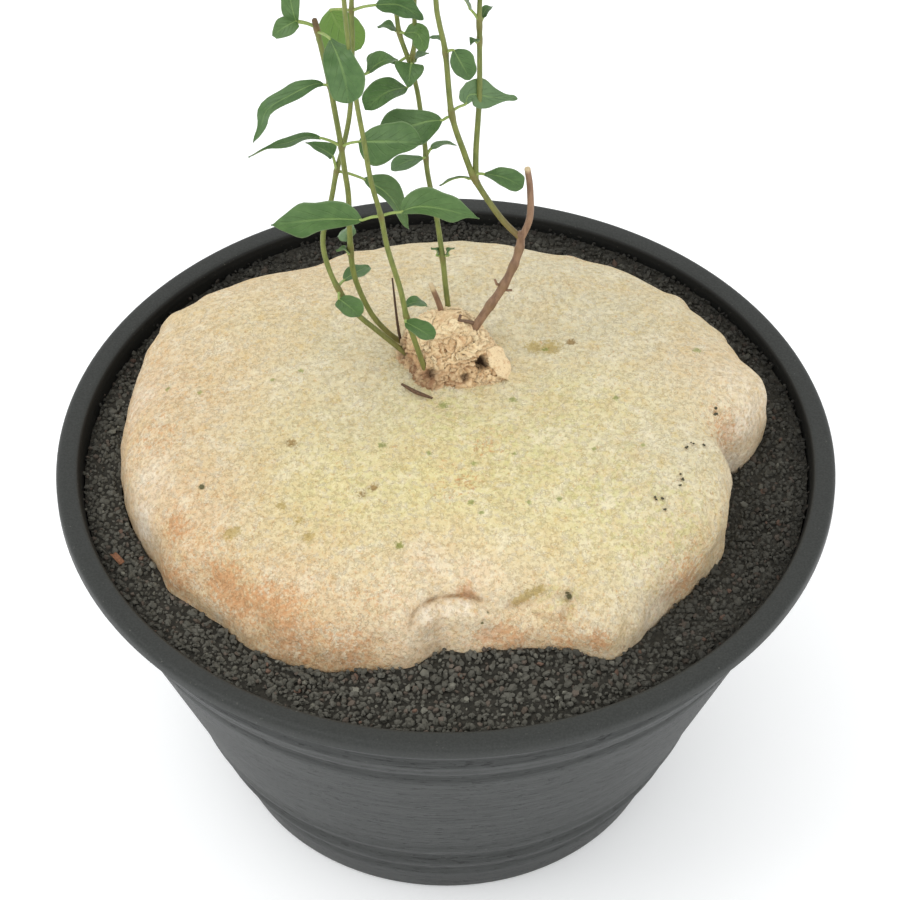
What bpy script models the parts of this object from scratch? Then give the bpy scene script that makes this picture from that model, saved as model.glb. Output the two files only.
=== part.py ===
"""Potted raphionacme: a boulder-like tuber sunk in grit in a black pot, with thin leafy stems on its crown.

Metres, +Z up. The origin is the centre of the pot's base, and the plant's front faces -Y.
"""
import math
import random
from collections import namedtuple

import bmesh
import bpy
from mathutils import Matrix, Vector, noise

# Pot
POT_HEIGHT = 0.143
RIM_RADIUS = 0.1343
WALL_TOP_RADIUS = 0.1322
BASE_RADIUS = 0.0772
RIM_BAND = 0.0082
RIM_DEPTH = 0.0055
RIM_ROUNDING = 0.0022
WALL_THICKNESS = 0.0038
FLOOR_TOP = 0.0055
FOOT_WIDTH = 0.017
FOOT_RECESS = 0.002
POT_SEGMENTS = 42
# Rings turned into the wall: depth under the rim, how far they stand out, and their half height.
WALL_RINGS = [
    (0.0083, -0.0008, 0.0024),
    (0.0125, 0.0006, 0.0022),
    (0.0175, -0.0010, 0.0024),
    (0.0220, 0.0007, 0.0024),
    (0.0270, 0.0006, 0.0024),
    (0.0330, -0.0015, 0.0030),
    (0.1045, 0.0008, 0.0030),
    (0.1107, -0.0010, 0.0028),
    (0.1175, 0.0008, 0.0030),
    (0.1240, -0.0010, 0.0030),
]
PLAIN_WALL_DEPTHS = (0.0405, 0.0720, 0.0980, 0.1300)
INSIDE_DEPTHS = (0.0600, 0.0250, 0.0090, 0.0015)
DRAIN_RADIUS = 0.0045
DRAIN_CIRCLE = 0.040
DRAIN_COUNT = 4

# Grit
SOIL_LEVEL = 0.136
# How much the grit rises towards the right and the back.
SOIL_SLOPE = (0.008, 0.012)
SOIL_RIPPLE = 0.0009
SOIL_HEAP = 0.006
SOIL_HEAP_PLACE = (0.018, -0.092)
SOIL_HEAP_REACH = (0.034, 0.014)
SOIL_PLAIN_RADIUS = 0.080
SOIL_RINGS = 5
# Height of the band under the top in which the soil has no ring of its own.
SOIL_EDGE = 0.006
CAVITY_CLEARANCE = 0.0007
FIT_GAP = 0.0003

# Caudex
CAUDEX_TOP = 0.1712
CAUDEX_BOTTOM = 0.070
CAUDEX_AROUND = 48
CAUDEX_RINGS = 20
BELLY_POWER = 2.2
# Widest outline in plan: direction in degrees from +X, and distance from the pot's axis.
CAUDEX_OUTLINE = [
    (1, 0.1055),
    (7, 0.1120),
    (18, 0.1090),
    (32, 0.1078),
    (44, 0.1056),
    (55, 0.1026),
    (66, 0.0986),
    (82, 0.0970),
    (96, 0.0974),
    (109, 0.0968),
    (125, 0.0996),
    (136, 0.1080),
    (148, 0.1148),
    (157, 0.1150),
    (165, 0.1124),
    (178, 0.1122),
    (191, 0.1112),
    (204, 0.1082),
    (216, 0.1058),
    (227, 0.1036),
    (237, 0.1044),
    (247, 0.1018),
    (256, 0.0970),
    (264, 0.0924),
    (272, 0.0885),
    (284, 0.0905),
    (293, 0.0930),
    (302, 0.1035),
    (312, 0.1015),
    (324, 0.1012),
    (336, 0.1024),
    (348, 0.0975),
    (355, 0.0948),
]
# Height of the widest line, by direction in degrees.
WAIST_HEIGHT = [
    (5, 0.1420),
    (45, 0.1410),
    (90, 0.1420),
    (135, 0.1400),
    (180, 0.1370),
    (225, 0.1300),
    (270, 0.1290),
    (315, 0.1330),
    (345, 0.1390),
]
# How square the shoulder is, by direction in degrees: it is crisp beside the notch.
SHOULDER_POWER = [
    (20, 3.8),
    (60, 3.2),
    (180, 3.2),
    (300, 3.2),
    (325, 4.2),
    (347, 6.0),
]
# Shallow dents in the top: place in plan, depth and reach.
CAUDEX_DENTS = [
    (0.037, 0.036, 0.0012, 0.008),
    (0.046, -0.070, 0.0030, 0.014),
]
BARK_RELIEF = 0.0011
BARK_FOOT = 0.134
BARK_SCALE = 0.026

# Corky crown on the caudex
CROWN_PLACE = (0.002, 0.018, 0.1705)
CROWN_HALF = (0.0174, 0.0152, 0.0165)
CROWN_RELIEF = 0.16
FLAKE_COUNT = 16
FLAKE_LENGTH = 0.0070
FLAKE_WIDTH = 0.0065
FLAKE_THICKNESS = 0.0011
FLAKE_SEED = 5

# Stems and leaves
SAMPLE_SPACING = 0.014
TUBE_ROUNDNESS = 1
ROOT_DEPTH = 0.006
HOLE_FLARE = 0.0008
HOLE_REACH = 0.008
LEAF_THICKNESS = 0.0008
PETIOLE_WIDTH = 0.0013
TIP_WIDTH = 0.0009
SMALL_LEAF = 0.0052
LEAF_CELLS = 5
SMALL_LEAF_CELLS = 3
UP = (0, 0, 1)
FRONT = (0, -1, 0.5)

Leaf = namedtuple("Leaf", "height base tip width face arch fold", defaults=(UP, 0.0015, 0.22))
Shoot = namedtuple("Shoot", "route start_radius end_radius leaves")

LEFT_OUTER = Shoot(
    route=[
        (-0.015, 0.017, 0.175),
        (-0.024, 0.018, 0.184),
        (-0.030, 0.018, 0.191),
        (-0.036, 0.019, 0.201),
        (-0.040, 0.021, 0.212),
        (-0.041, 0.023, 0.222),
        (-0.038, 0.025, 0.236),
        (-0.036, 0.027, 0.247),
        (-0.033, 0.029, 0.259),
        (-0.031, 0.031, 0.272),
        (-0.030, 0.034, 0.295),
        (-0.030, 0.036, 0.311),
        (-0.028, 0.038, 0.340),
        (-0.025, 0.040, 0.372),
        (-0.023, 0.041, 0.398),
    ],
    start_radius=0.00115,
    end_radius=0.0007,
    leaves=[
        Leaf(0.201, (-0.036, 0.016, 0.200), (-0.029, 0.007, 0.198), 0.0090),
        Leaf(0.202, (-0.035, 0.025, 0.202), (-0.025, 0.033, 0.201), 0.0070),
        Leaf(0.247, (-0.038, 0.027, 0.253), (-0.045, 0.030, 0.259), 0.0060),
        Leaf(0.247, (-0.029, 0.029, 0.243), (-0.013, 0.030, 0.219), 0.0085, (0.5, -0.5, 0.5), 0.0030),
        Leaf(0.307, (-0.035, 0.038, 0.306), (-0.029, 0.044, 0.284), 0.0140, FRONT, 0.0030),
        Leaf(0.307, (-0.022, 0.036, 0.309), (-0.007, 0.034, 0.304), 0.0080, UP, 0.0030),
        Leaf(0.340, (-0.031, 0.033, 0.343), (-0.040, 0.016, 0.340), 0.0110, UP, 0.0030),
        Leaf(0.340, (-0.030, 0.043, 0.343), (-0.038, 0.060, 0.340), 0.0110, UP, 0.0030),
        Leaf(0.372, (-0.021, 0.039, 0.375), (-0.004, 0.034, 0.374), 0.0090, UP, 0.0025),
        Leaf(0.372, (-0.029, 0.041, 0.375), (-0.045, 0.046, 0.374), 0.0090, UP, 0.0025),
        Leaf(0.396, (-0.025, 0.038, 0.401), (-0.028, 0.029, 0.408), 0.0045),
        Leaf(0.396, (-0.021, 0.044, 0.401), (-0.018, 0.052, 0.408), 0.0045),
    ],
)

LEFT_INNER = Shoot(
    route=[
        (-0.015, 0.024, 0.172),
        (-0.020, 0.024, 0.177),
        (-0.026, 0.024, 0.187),
        (-0.031, 0.022, 0.206),
        (-0.032, 0.020, 0.228),
        (-0.032, 0.019, 0.243),
        (-0.033, 0.018, 0.255),
        (-0.034, 0.017, 0.267),
        (-0.036, 0.016, 0.285),
        (-0.037, 0.015, 0.294),
        (-0.039, 0.014, 0.308),
        (-0.041, 0.013, 0.321),
    ],
    start_radius=0.00115,
    end_radius=0.0009,
    leaves=[
        Leaf(0.216, (-0.033, 0.020, 0.217), (-0.037, 0.018, 0.217), 0.0040),
        Leaf(0.219, (-0.031, 0.022, 0.220), (-0.032, 0.026, 0.223), 0.0055),
        Leaf(0.266, (-0.042, 0.015, 0.272), (-0.064, 0.008, 0.270), 0.0070, UP, 0.0035),
        Leaf(0.266, (-0.028, 0.014, 0.271), (-0.008, 0.008, 0.269), 0.0140, (0, -0.6, 1), 0.0010),
        Leaf(0.293, (-0.041, 0.014, 0.296), (-0.062, 0.006, 0.276), 0.0068, (-0.4, -0.2, 1), 0.0065),
        Leaf(0.318, (-0.046, 0.012, 0.319), (-0.053, 0.017, 0.330), 0.0110, (-0.3, -0.8, 0.5), 0.0015),
        Leaf(0.316, (-0.036, 0.010, 0.315), (-0.032, 0.004, 0.294), 0.0145, FRONT, 0.0020, 0.1),
    ],
)

FRONT_STEM = Shoot(
    route=[
        (-0.008, 0.006, 0.180),
        (-0.011, 0.005, 0.193),
        (-0.013, 0.004, 0.202),
        (-0.015, 0.003, 0.216),
        (-0.019, 0.002, 0.235),
        (-0.021, 0.001, 0.250),
        (-0.024, 0.000, 0.266),
        (-0.026, -0.001, 0.284),
        (-0.028, -0.002, 0.301),
        (-0.030, -0.003, 0.325),
        (-0.031, -0.004, 0.342),
        (-0.032, -0.005, 0.372),
        (-0.031, -0.006, 0.404),
        (-0.029, -0.006, 0.432),
    ],
    start_radius=0.00115,
    end_radius=0.0007,
    leaves=[
        Leaf(0.202, (-0.013, 0.002, 0.202), (-0.004, -0.005, 0.200), 0.0075),
        Leaf(0.203, (-0.013, 0.006, 0.205), (-0.006, 0.009, 0.204), 0.0052),
        Leaf(0.250, (-0.029, -0.001, 0.250), (-0.056, -0.004, 0.249), 0.0138, (0, -0.45, 1), 0.0005, 0.12),
        Leaf(0.250, (-0.014, 0.003, 0.251), (0.011, 0.002, 0.248), 0.0140, (0, -0.45, 1), 0.0020, 0.12),
        Leaf(0.309, (-0.024, -0.002, 0.312), (-0.015, 0.004, 0.312), 0.0070, UP, 0.0020, 0.5),
        Leaf(0.372, (-0.033, -0.010, 0.375), (-0.037, -0.028, 0.371), 0.0120, UP, 0.0030),
        Leaf(0.372, (-0.031, 0.000, 0.375), (-0.027, 0.018, 0.371), 0.0120, UP, 0.0030),
        Leaf(0.404, (-0.036, -0.006, 0.407), (-0.052, -0.008, 0.405), 0.0100, UP, 0.0025),
        Leaf(0.404, (-0.026, -0.006, 0.407), (-0.010, -0.004, 0.405), 0.0100, UP, 0.0025),
        Leaf(0.430, (-0.030, -0.009, 0.436), (-0.031, -0.018, 0.443), 0.0050),
        Leaf(0.430, (-0.028, -0.003, 0.436), (-0.026, 0.005, 0.443), 0.0050),
    ],
)

BACK_STEM = Shoot(
    route=[
        (0.001, 0.028, 0.183),
        (0.000, 0.029, 0.193),
        (-0.001, 0.031, 0.204),
        (-0.003, 0.033, 0.221),
        (-0.006, 0.035, 0.239),
        (-0.007, 0.037, 0.251),
        (-0.009, 0.039, 0.269),
        (-0.011, 0.040, 0.281),
        (-0.010, 0.041, 0.291),
        (-0.010, 0.042, 0.306),
        (-0.009, 0.043, 0.335),
        (-0.006, 0.044, 0.366),
    ],
    start_radius=0.00115,
    end_radius=0.0007,
    leaves=[
        Leaf(0.205, (-0.003, 0.031, 0.206), (-0.005, 0.031, 0.209), 0.0022),
        Leaf(0.205, (0.001, 0.031, 0.206), (0.003, 0.031, 0.209), 0.0022),
        Leaf(0.245, (-0.009, 0.035, 0.246), (-0.018, 0.028, 0.246), 0.0055),
        Leaf(0.245, (-0.004, 0.037, 0.248), (0.004, 0.040, 0.248), 0.0050),
        Leaf(0.277, (-0.013, 0.036, 0.279), (-0.026, 0.024, 0.275), 0.0110, (0, -0.3, 1)),
        Leaf(0.280, (-0.011, 0.036, 0.284), (-0.011, 0.026, 0.283), 0.0110, UP, 0.0010, 0.4),
        Leaf(0.285, (-0.013, 0.041, 0.287), (-0.018, 0.042, 0.288), 0.0035),
        Leaf(0.285, (-0.008, 0.042, 0.286), (-0.003, 0.043, 0.287), 0.0040),
        Leaf(0.335, (-0.009, 0.047, 0.338), (-0.008, 0.064, 0.335), 0.0110, UP, 0.0030),
        Leaf(0.335, (-0.010, 0.039, 0.338), (-0.016, 0.024, 0.335), 0.0110, UP, 0.0030),
        Leaf(0.364, (-0.004, 0.047, 0.369), (-0.001, 0.056, 0.374), 0.0050),
        Leaf(0.364, (-0.007, 0.041, 0.369), (-0.009, 0.032, 0.374), 0.0050),
    ],
)

BACK_FORK = Shoot(
    route=[
        (-0.011, 0.040, 0.280),
        (-0.013, 0.041, 0.286),
        (-0.015, 0.043, 0.292),
        (-0.016, 0.044, 0.300),
        (-0.018, 0.045, 0.315),
        (-0.019, 0.045, 0.327),
    ],
    start_radius=0.00085,
    end_radius=0.0007,
    leaves=[
        Leaf(0.292, (-0.014, 0.041, 0.295), (-0.008, 0.036, 0.292), 0.0060, UP, 0.0020),
        Leaf(0.292, (-0.018, 0.044, 0.294), (-0.023, 0.044, 0.296), 0.0045),
        Leaf(0.325, (-0.021, 0.047, 0.330), (-0.028, 0.053, 0.332), 0.0060),
        Leaf(0.325, (-0.020, 0.042, 0.330), (-0.021, 0.034, 0.333), 0.0050),
    ],
)

WOODY_BASE = Shoot(
    route=[
        (0.010, 0.019, 0.184),
        (0.015, 0.020, 0.193),
        (0.019, 0.021, 0.200),
        (0.023, 0.022, 0.210),
        (0.025, 0.023, 0.218),
        (0.025, 0.023, 0.223),
    ],
    start_radius=0.0017,
    end_radius=0.0015,
    leaves=[],
)

WOODY_STUB = Shoot(
    route=[
        (0.025, 0.023, 0.220),
        (0.028, 0.024, 0.229),
        (0.028, 0.026, 0.240),
        (0.027, 0.027, 0.248),
    ],
    start_radius=0.0014,
    end_radius=0.0012,
    leaves=[],
)

WOODY_HOOKS = [
    Shoot([(0.0185, 0.021, 0.200), (0.0210, 0.020, 0.200), (0.0222, 0.019, 0.201)], 0.0006, 0.0004, []),
    Shoot([(0.0190, 0.021, 0.201), (0.0172, 0.021, 0.202), (0.0166, 0.021, 0.204)], 0.0006, 0.0004, []),
]

RIGHT_SHOOT = Shoot(
    route=[
        (0.025, 0.023, 0.221),
        (0.019, 0.024, 0.228),
        (0.013, 0.025, 0.238),
        (0.009, 0.026, 0.246),
        (0.006, 0.026, 0.256),
        (0.002, 0.025, 0.273),
        (0.000, 0.024, 0.299),
        (-0.002, 0.023, 0.312),
        (-0.003, 0.023, 0.321),
        (-0.004, 0.022, 0.350),
        (-0.003, 0.021, 0.384),
        (-0.001, 0.020, 0.410),
    ],
    start_radius=0.0012,
    end_radius=0.0007,
    leaves=[
        Leaf(0.244, (0.007, 0.026, 0.245), (-0.002, 0.027, 0.240), 0.0050, (0, 0.7, 0.7), 0.0020),
        Leaf(0.246, (0.013, 0.026, 0.247), (0.025, 0.020, 0.246), 0.0075),
        Leaf(0.272, (-0.001, 0.026, 0.271), (-0.021, 0.026, 0.265), 0.0145, (0, -0.6, 1), 0.0010),
        Leaf(0.274, (0.006, 0.028, 0.277), (0.023, 0.034, 0.274), 0.0115, (0, -0.9, 0.5), 0.0010, 0.1),
        Leaf(0.299, (-0.002, 0.025, 0.301), (-0.006, 0.026, 0.304), 0.0040),
        Leaf(0.299, (0.002, 0.023, 0.301), (0.009, 0.018, 0.294), 0.0085, (0.3, -0.3, 1), 0.0020),
        Leaf(0.350, (-0.008, 0.022, 0.353), (-0.022, 0.019, 0.351), 0.0100, UP, 0.0025),
        Leaf(0.350, (0.000, 0.020, 0.353), (0.012, 0.010, 0.351), 0.0100, UP, 0.0025),
        Leaf(0.384, (-0.003, 0.017, 0.387), (-0.004, 0.001, 0.384), 0.0100, UP, 0.0025),
        Leaf(0.384, (-0.003, 0.025, 0.387), (-0.001, 0.041, 0.384), 0.0100, UP, 0.0025),
        Leaf(0.408, (-0.003, 0.018, 0.414), (-0.007, 0.011, 0.420), 0.0045),
        Leaf(0.408, (0.001, 0.022, 0.414), (0.006, 0.028, 0.420), 0.0045),
    ],
)

RIGHT_FORK = Shoot(
    route=[
        (0.010, 0.026, 0.244),
        (0.010, 0.028, 0.255),
        (0.011, 0.031, 0.275),
        (0.011, 0.034, 0.295),
        (0.011, 0.036, 0.311),
        (0.013, 0.038, 0.345),
        (0.016, 0.040, 0.376),
    ],
    start_radius=0.0010,
    end_radius=0.0007,
    leaves=[
        Leaf(0.296, (0.010, 0.032, 0.297), (0.008, 0.028, 0.299), 0.0034),
        Leaf(0.301, (0.012, 0.037, 0.303), (0.015, 0.040, 0.305), 0.0034),
        Leaf(0.303, (0.008, 0.035, 0.308), (0.001, 0.033, 0.317), 0.0065),
        Leaf(0.345, (0.013, 0.042, 0.348), (0.010, 0.058, 0.345), 0.0100, UP, 0.0025),
        Leaf(0.345, (0.015, 0.034, 0.348), (0.019, 0.020, 0.345), 0.0100, UP, 0.0025),
        Leaf(0.374, (0.019, 0.042, 0.380), (0.027, 0.046, 0.386), 0.0050),
        Leaf(0.374, (0.013, 0.038, 0.380), (0.006, 0.034, 0.386), 0.0050),
    ],
)

STEMS = {
    "stem_left_outer": [LEFT_OUTER],
    "stem_left_inner": [LEFT_INNER],
    "stem_front": [FRONT_STEM],
    "stem_back": [BACK_STEM, BACK_FORK],
    "stem_woody": [WOODY_BASE, WOODY_STUB, *WOODY_HOOKS, RIGHT_SHOOT, RIGHT_FORK],
}

# What stays of older shoots, grown to the crown: routes and radii at their two ends.
CUT_STUB = Shoot([(-0.002, 0.025, 0.181), (-0.002, 0.025, 0.188), (-0.005, 0.024, 0.200)], 0.0015, 0.0012, [])
DEAD_TWIG = Shoot([(-0.0135, 0.0205, 0.169), (-0.016, 0.0205, 0.180), (-0.018, 0.0205, 0.205)], 0.0008, 0.0005, [])
DRY_NUB = Shoot([(0.005, 0.015, 0.184), (0.006, 0.013, 0.189), (0.009, 0.011, 0.191)], 0.0011, 0.0008, [])


def clear_scene():
    for obj in list(bpy.data.objects):
        bpy.data.objects.remove(obj)


def new_collection(name):
    collection = bpy.data.collections.new(name)
    bpy.context.scene.collection.children.link(collection)
    return collection


def new_object(name, bm, collection):
    mesh = bpy.data.meshes.new(name)
    bm.to_mesh(mesh)
    bm.free()
    obj = bpy.data.objects.new(name, mesh)
    collection.objects.link(obj)
    return obj


def material(name, color, roughness):
    mat = bpy.data.materials.new(name)
    mat.use_nodes = True
    shader = mat.node_tree.nodes["Principled BSDF"]
    shader.inputs["Base Color"].default_value = (*color, 1.0)
    shader.inputs["Roughness"].default_value = roughness
    shader.inputs["Metallic"].default_value = 0.0
    return mat


def finish(obj, mat, sharp_degrees=40):
    obj.data.materials.clear()
    obj.data.materials.append(mat)
    obj.data.shade_smooth()
    obj.data.set_sharp_from_angle(angle=math.radians(sharp_degrees))


def apply_modifiers(obj):
    bpy.context.view_layer.update()
    graph = bpy.context.evaluated_depsgraph_get()
    mesh = bpy.data.meshes.new_from_object(obj.evaluated_get(graph))
    obj.modifiers.clear()
    obj.data = mesh


def combine(obj, collection, operation):
    """Join or cut with a whole collection, then remove that collection's objects."""
    boolean = obj.modifiers.new(operation.lower(), "BOOLEAN")
    boolean.operation = operation
    boolean.operand_type = "COLLECTION"
    boolean.collection = collection
    apply_modifiers(obj)
    for other in list(collection.objects):
        bpy.data.objects.remove(other)
    bpy.data.collections.remove(collection)


def turned(name, profile, segments, collection):
    """A closed turned solid from a profile that runs from the axis over the top and down its outer side."""
    bm = bmesh.new()
    verts = [bm.verts.new((radius, 0, height)) for radius, height in profile]
    for first, second in zip(verts, verts[1:]):
        bm.edges.new((first, second))
    obj = new_object(name, bm, collection)
    screw = obj.modifiers.new("turn", "SCREW")
    screw.axis = "Z"
    screw.steps = segments
    screw.render_steps = segments
    screw.use_merge_vertices = True
    screw.merge_threshold = 0.00001
    return obj


def wall_radius(depth):
    """Outer radius of the pot's wall at a depth under the rim, with its rings."""
    radius = WALL_TOP_RADIUS + (BASE_RADIUS - WALL_TOP_RADIUS) * depth / POT_HEIGHT
    for ring_depth, stand_out, half_height in WALL_RINGS:
        radius += stand_out * math.exp(-(((depth - ring_depth) / half_height) ** 2))
    return radius


def inner_wall(depth):
    """Inner radius of the pot at a depth under the rim: the rim's band, then a wall of even thickness."""
    plain = WALL_TOP_RADIUS + (BASE_RADIUS - WALL_TOP_RADIUS) * depth / POT_HEIGHT - WALL_THICKNESS
    return min(plain, RIM_RADIUS - RIM_BAND - 0.1 * depth)


def pot_profile():
    depths = sorted([ring[0] for ring in WALL_RINGS] + list(PLAIN_WALL_DEPTHS))
    inside = [(0, FLOOR_TOP), (inner_wall(POT_HEIGHT - FLOOR_TOP), FLOOR_TOP)]
    inside += [(inner_wall(depth), POT_HEIGHT - depth) for depth in INSIDE_DEPTHS]
    inner_edge = RIM_RADIUS - RIM_BAND
    rim = [
        (inner_edge + 0.3 * RIM_ROUNDING, POT_HEIGHT - 0.1 * RIM_ROUNDING),
        (inner_edge + RIM_ROUNDING, POT_HEIGHT),
        (RIM_RADIUS - RIM_ROUNDING, POT_HEIGHT),
        (RIM_RADIUS - 0.25 * RIM_ROUNDING, POT_HEIGHT - 0.25 * RIM_ROUNDING),
        (RIM_RADIUS, POT_HEIGHT - RIM_ROUNDING),
        (RIM_RADIUS, POT_HEIGHT - RIM_DEPTH),
    ]
    outside = [(wall_radius(depth), POT_HEIGHT - depth) for depth in depths]
    base = [
        (BASE_RADIUS + 0.0006, 0.0015),
        (BASE_RADIUS - 0.0008, 0),
        (BASE_RADIUS - FOOT_WIDTH, 0),
        (BASE_RADIUS - FOOT_WIDTH - 0.0015, FOOT_RECESS),
        (0, FOOT_RECESS),
    ]
    return inside + rim + outside + base


def drain_cutters():
    holes = new_collection("drain cutters")
    places = [(0, 0)]
    for index in range(DRAIN_COUNT):
        angle = math.tau * (index + 0.5) / DRAIN_COUNT
        places.append((DRAIN_CIRCLE * math.cos(angle), DRAIN_CIRCLE * math.sin(angle)))
    for index, (x, y) in enumerate(places):
        bm = bmesh.new()
        bmesh.ops.create_cone(bm, cap_ends=True, segments=12, radius1=DRAIN_RADIUS, radius2=DRAIN_RADIUS,
                              depth=4 * FLOOR_TOP)
        new_object(f"drain cutter {index}", bm, holes).location = (x, y, FLOOR_TOP / 2)
    return holes


def make_pot(collection):
    pot = turned("pot", pot_profile(), POT_SEGMENTS, collection)
    combine(pot, drain_cutters(), "DIFFERENCE")
    finish(pot, material("black plastic", (0.030, 0.031, 0.030), 0.55), 30)
    return pot


def around(table, degrees):
    """Smooth closed curve through (direction, value) pairs, read at a direction."""
    degrees = (degrees - table[0][0]) % 360 + table[0][0]
    count = len(table)
    span = max(index for index in range(count) if table[index][0] <= degrees)

    def knot(index):
        turns, place = divmod(index, count)
        return table[place][0] + 360 * turns, table[place][1]

    (x0, y0), (x1, y1), (x2, y2), (x3, y3) = [knot(span + step) for step in (-1, 0, 1, 2)]
    t = (degrees - x1) / (x2 - x1)
    slope_start = (y2 - y0) / (x2 - x0) * (x2 - x1)
    slope_end = (y3 - y1) / (x3 - x1) * (x2 - x1)
    return (
        (2 * t**3 - 3 * t**2 + 1) * y1
        + (t**3 - 2 * t**2 + t) * slope_start
        + (3 * t**2 - 2 * t**3) * y2
        + (t**3 - t**2) * slope_end
    )


def caudex_point(direction, grow):
    """Point of the caudex's skin in a direction from its middle, pushed out by grow."""
    degrees = math.degrees(math.atan2(direction.y, direction.x))
    flat = math.hypot(direction.x, direction.y)
    lift = direction.z
    power = around(SHOULDER_POWER, degrees) if lift >= 0 else BELLY_POWER
    scale = (flat**power + abs(lift) ** power) ** (1 / power)
    reach = flat / scale
    rise = lift / scale
    radius = around(CAUDEX_OUTLINE, degrees) + grow
    waist = around(WAIST_HEIGHT, degrees)
    end = CAUDEX_TOP + grow if lift >= 0 else CAUDEX_BOTTOM - grow
    height = waist + abs(rise) * (end - waist)
    x = reach * radius * direction.x / max(flat, 1e-9)
    y = reach * radius * direction.y / max(flat, 1e-9)
    if lift > 0:
        for dent_x, dent_y, depth, size in CAUDEX_DENTS:
            away = math.hypot(x - dent_x, y - dent_y) / size
            height -= depth * math.exp(-away * away)
    point = Vector((x, y, height))
    if height > BARK_FOOT:
        fade = min(1, (height - BARK_FOOT) / 0.01)
        point.z += BARK_RELIEF * fade * noise.noise(point / BARK_SCALE)
    return point


def caudex_body(name, collection, segments, rings, grow=0.0):
    bm = bmesh.new()
    bmesh.ops.create_uvsphere(bm, u_segments=segments, v_segments=rings, radius=1)
    for vert in bm.verts:
        vert.co = caudex_point(vert.co.normalized(), grow)
    return new_object(name, bm, collection)


def crown_point(direction):
    bump = 1 + CROWN_RELIEF * (0.5 * noise.noise(direction * 2.2) - abs(noise.noise(direction * 3.4)))
    return Vector(
        centre + half * part * bump for centre, half, part in zip(CROWN_PLACE, CROWN_HALF, direction)
    )


def add_crown(grown):
    bm = bmesh.new()
    bmesh.ops.create_uvsphere(bm, u_segments=22, v_segments=12, radius=1)
    for vert in bm.verts:
        vert.co = crown_point(vert.co.normalized())
    new_object("crown knob", bm, grown)
    rng = random.Random(FLAKE_SEED)
    for index in range(FLAKE_COUNT):
        angle = math.tau * (index * 0.382 + 0.04 * rng.random())
        lift = 0.22 + 0.66 * index / FLAKE_COUNT
        flat = math.sqrt(1 - lift * lift)
        outward = Vector((flat * math.cos(angle), flat * math.sin(angle), lift))
        downward = Vector((lift * math.cos(angle), lift * math.sin(angle), -flat))
        foot = crown_point(outward)
        tip = foot + outward * 0.0022 + downward * FLAKE_LENGTH * rng.uniform(0.6, 0.9)
        flake = Leaf(0, foot - outward * 0.0004, tip, FLAKE_WIDTH * rng.uniform(0.8, 1.2), outward, 0.0006, 0.1)
        root = foot - outward * 0.0020 - downward * 0.002
        blade(f"flake {index}", flake, root, grown, 2, FLAKE_WIDTH * 0.7, FLAKE_THICKNESS)


def make_caudex(collection):
    caudex = caudex_body("caudex", collection, CAUDEX_AROUND, CAUDEX_RINGS)
    grown = new_collection("crown parts")
    add_crown(grown)
    for name, shoot in (("cut stub", CUT_STUB), ("dead twig", DEAD_TWIG), ("dry nub", DRY_NUB)):
        tube(name, smooth_path(shoot.route), shoot.start_radius, shoot.end_radius, grown)
    combine(caudex, grown, "UNION")
    combine(caudex, stem_holes(), "DIFFERENCE")
    finish(caudex, material("caudex bark", (0.62, 0.55, 0.36), 0.85), 50)
    return caudex


def soil_profile():
    """From the middle of the flat top out to the wall, down the pot's inside and back under."""
    edge = inner_wall(POT_HEIGHT - SOIL_LEVEL) - FIT_GAP
    bottom = FLOOR_TOP + FIT_GAP
    top = [(0, SOIL_LEVEL)]
    for ring in range(SOIL_RINGS + 1):
        top.append((SOIL_PLAIN_RADIUS + (edge - SOIL_PLAIN_RADIUS) * ring / SOIL_RINGS, SOIL_LEVEL))
    buried = sorted(depth for depth in INSIDE_DEPTHS if depth > POT_HEIGHT - SOIL_LEVEL + SOIL_EDGE)
    side = [(inner_wall(depth) - FIT_GAP, POT_HEIGHT - depth) for depth in buried]
    return top + side + [(inner_wall(POT_HEIGHT - bottom) - FIT_GAP, bottom), (0, bottom)]


def soil_height(x, y):
    """Height of the grit: sloped and uneven a little, and heaped against the caudex's front."""
    across = (x - SOIL_HEAP_PLACE[0]) / SOIL_HEAP_REACH[0]
    towards = (y - SOIL_HEAP_PLACE[1]) / SOIL_HEAP_REACH[1]
    heap = SOIL_HEAP * math.exp(-(across * across) - towards * towards)
    level = SOIL_LEVEL + SOIL_SLOPE[0] * x + SOIL_SLOPE[1] * y
    return level + heap + SOIL_RIPPLE * noise.noise(Vector((x, y, 0.3)) / 0.007)


def make_soil(collection):
    soil = turned("soil", soil_profile(), POT_SEGMENTS, collection)
    apply_modifiers(soil)
    for vert in soil.data.vertices:
        if vert.co.z > SOIL_LEVEL - 0.001:
            height = soil_height(vert.co.x, vert.co.y)
            distance = math.hypot(vert.co.x, vert.co.y)
            inside = min(1, (inner_wall(POT_HEIGHT - height) - FIT_GAP) / max(distance, FIT_GAP))
            vert.co = (vert.co.x * inside, vert.co.y * inside, height)
    cavity = new_collection("caudex cavity")
    caudex_body("cavity cutter", cavity, CAUDEX_AROUND, CAUDEX_RINGS, CAVITY_CLEARANCE)
    combine(soil, cavity, "DIFFERENCE")
    finish(soil, material("black grit", (0.030, 0.029, 0.027), 0.95), 20)
    return soil


def smooth_path(route):
    """Points along a smooth curve through a route, about one sample apart."""
    points = [Vector(point) for point in route]
    padded = [2 * points[0] - points[1], *points, 2 * points[-1] - points[-2]]
    path = []
    for a, b, c, d in zip(padded, padded[1:], padded[2:], padded[3:]):
        steps = max(1, round((c - b).length / SAMPLE_SPACING))
        for step in range(steps):
            t = step / steps
            path.append(
                0.5 * (2 * b + (c - a) * t + (2 * a - 5 * b + 4 * c - d) * t**2 + (3 * b - a - 3 * c + d) * t**3)
            )
    path.append(points[-1])
    return path


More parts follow.
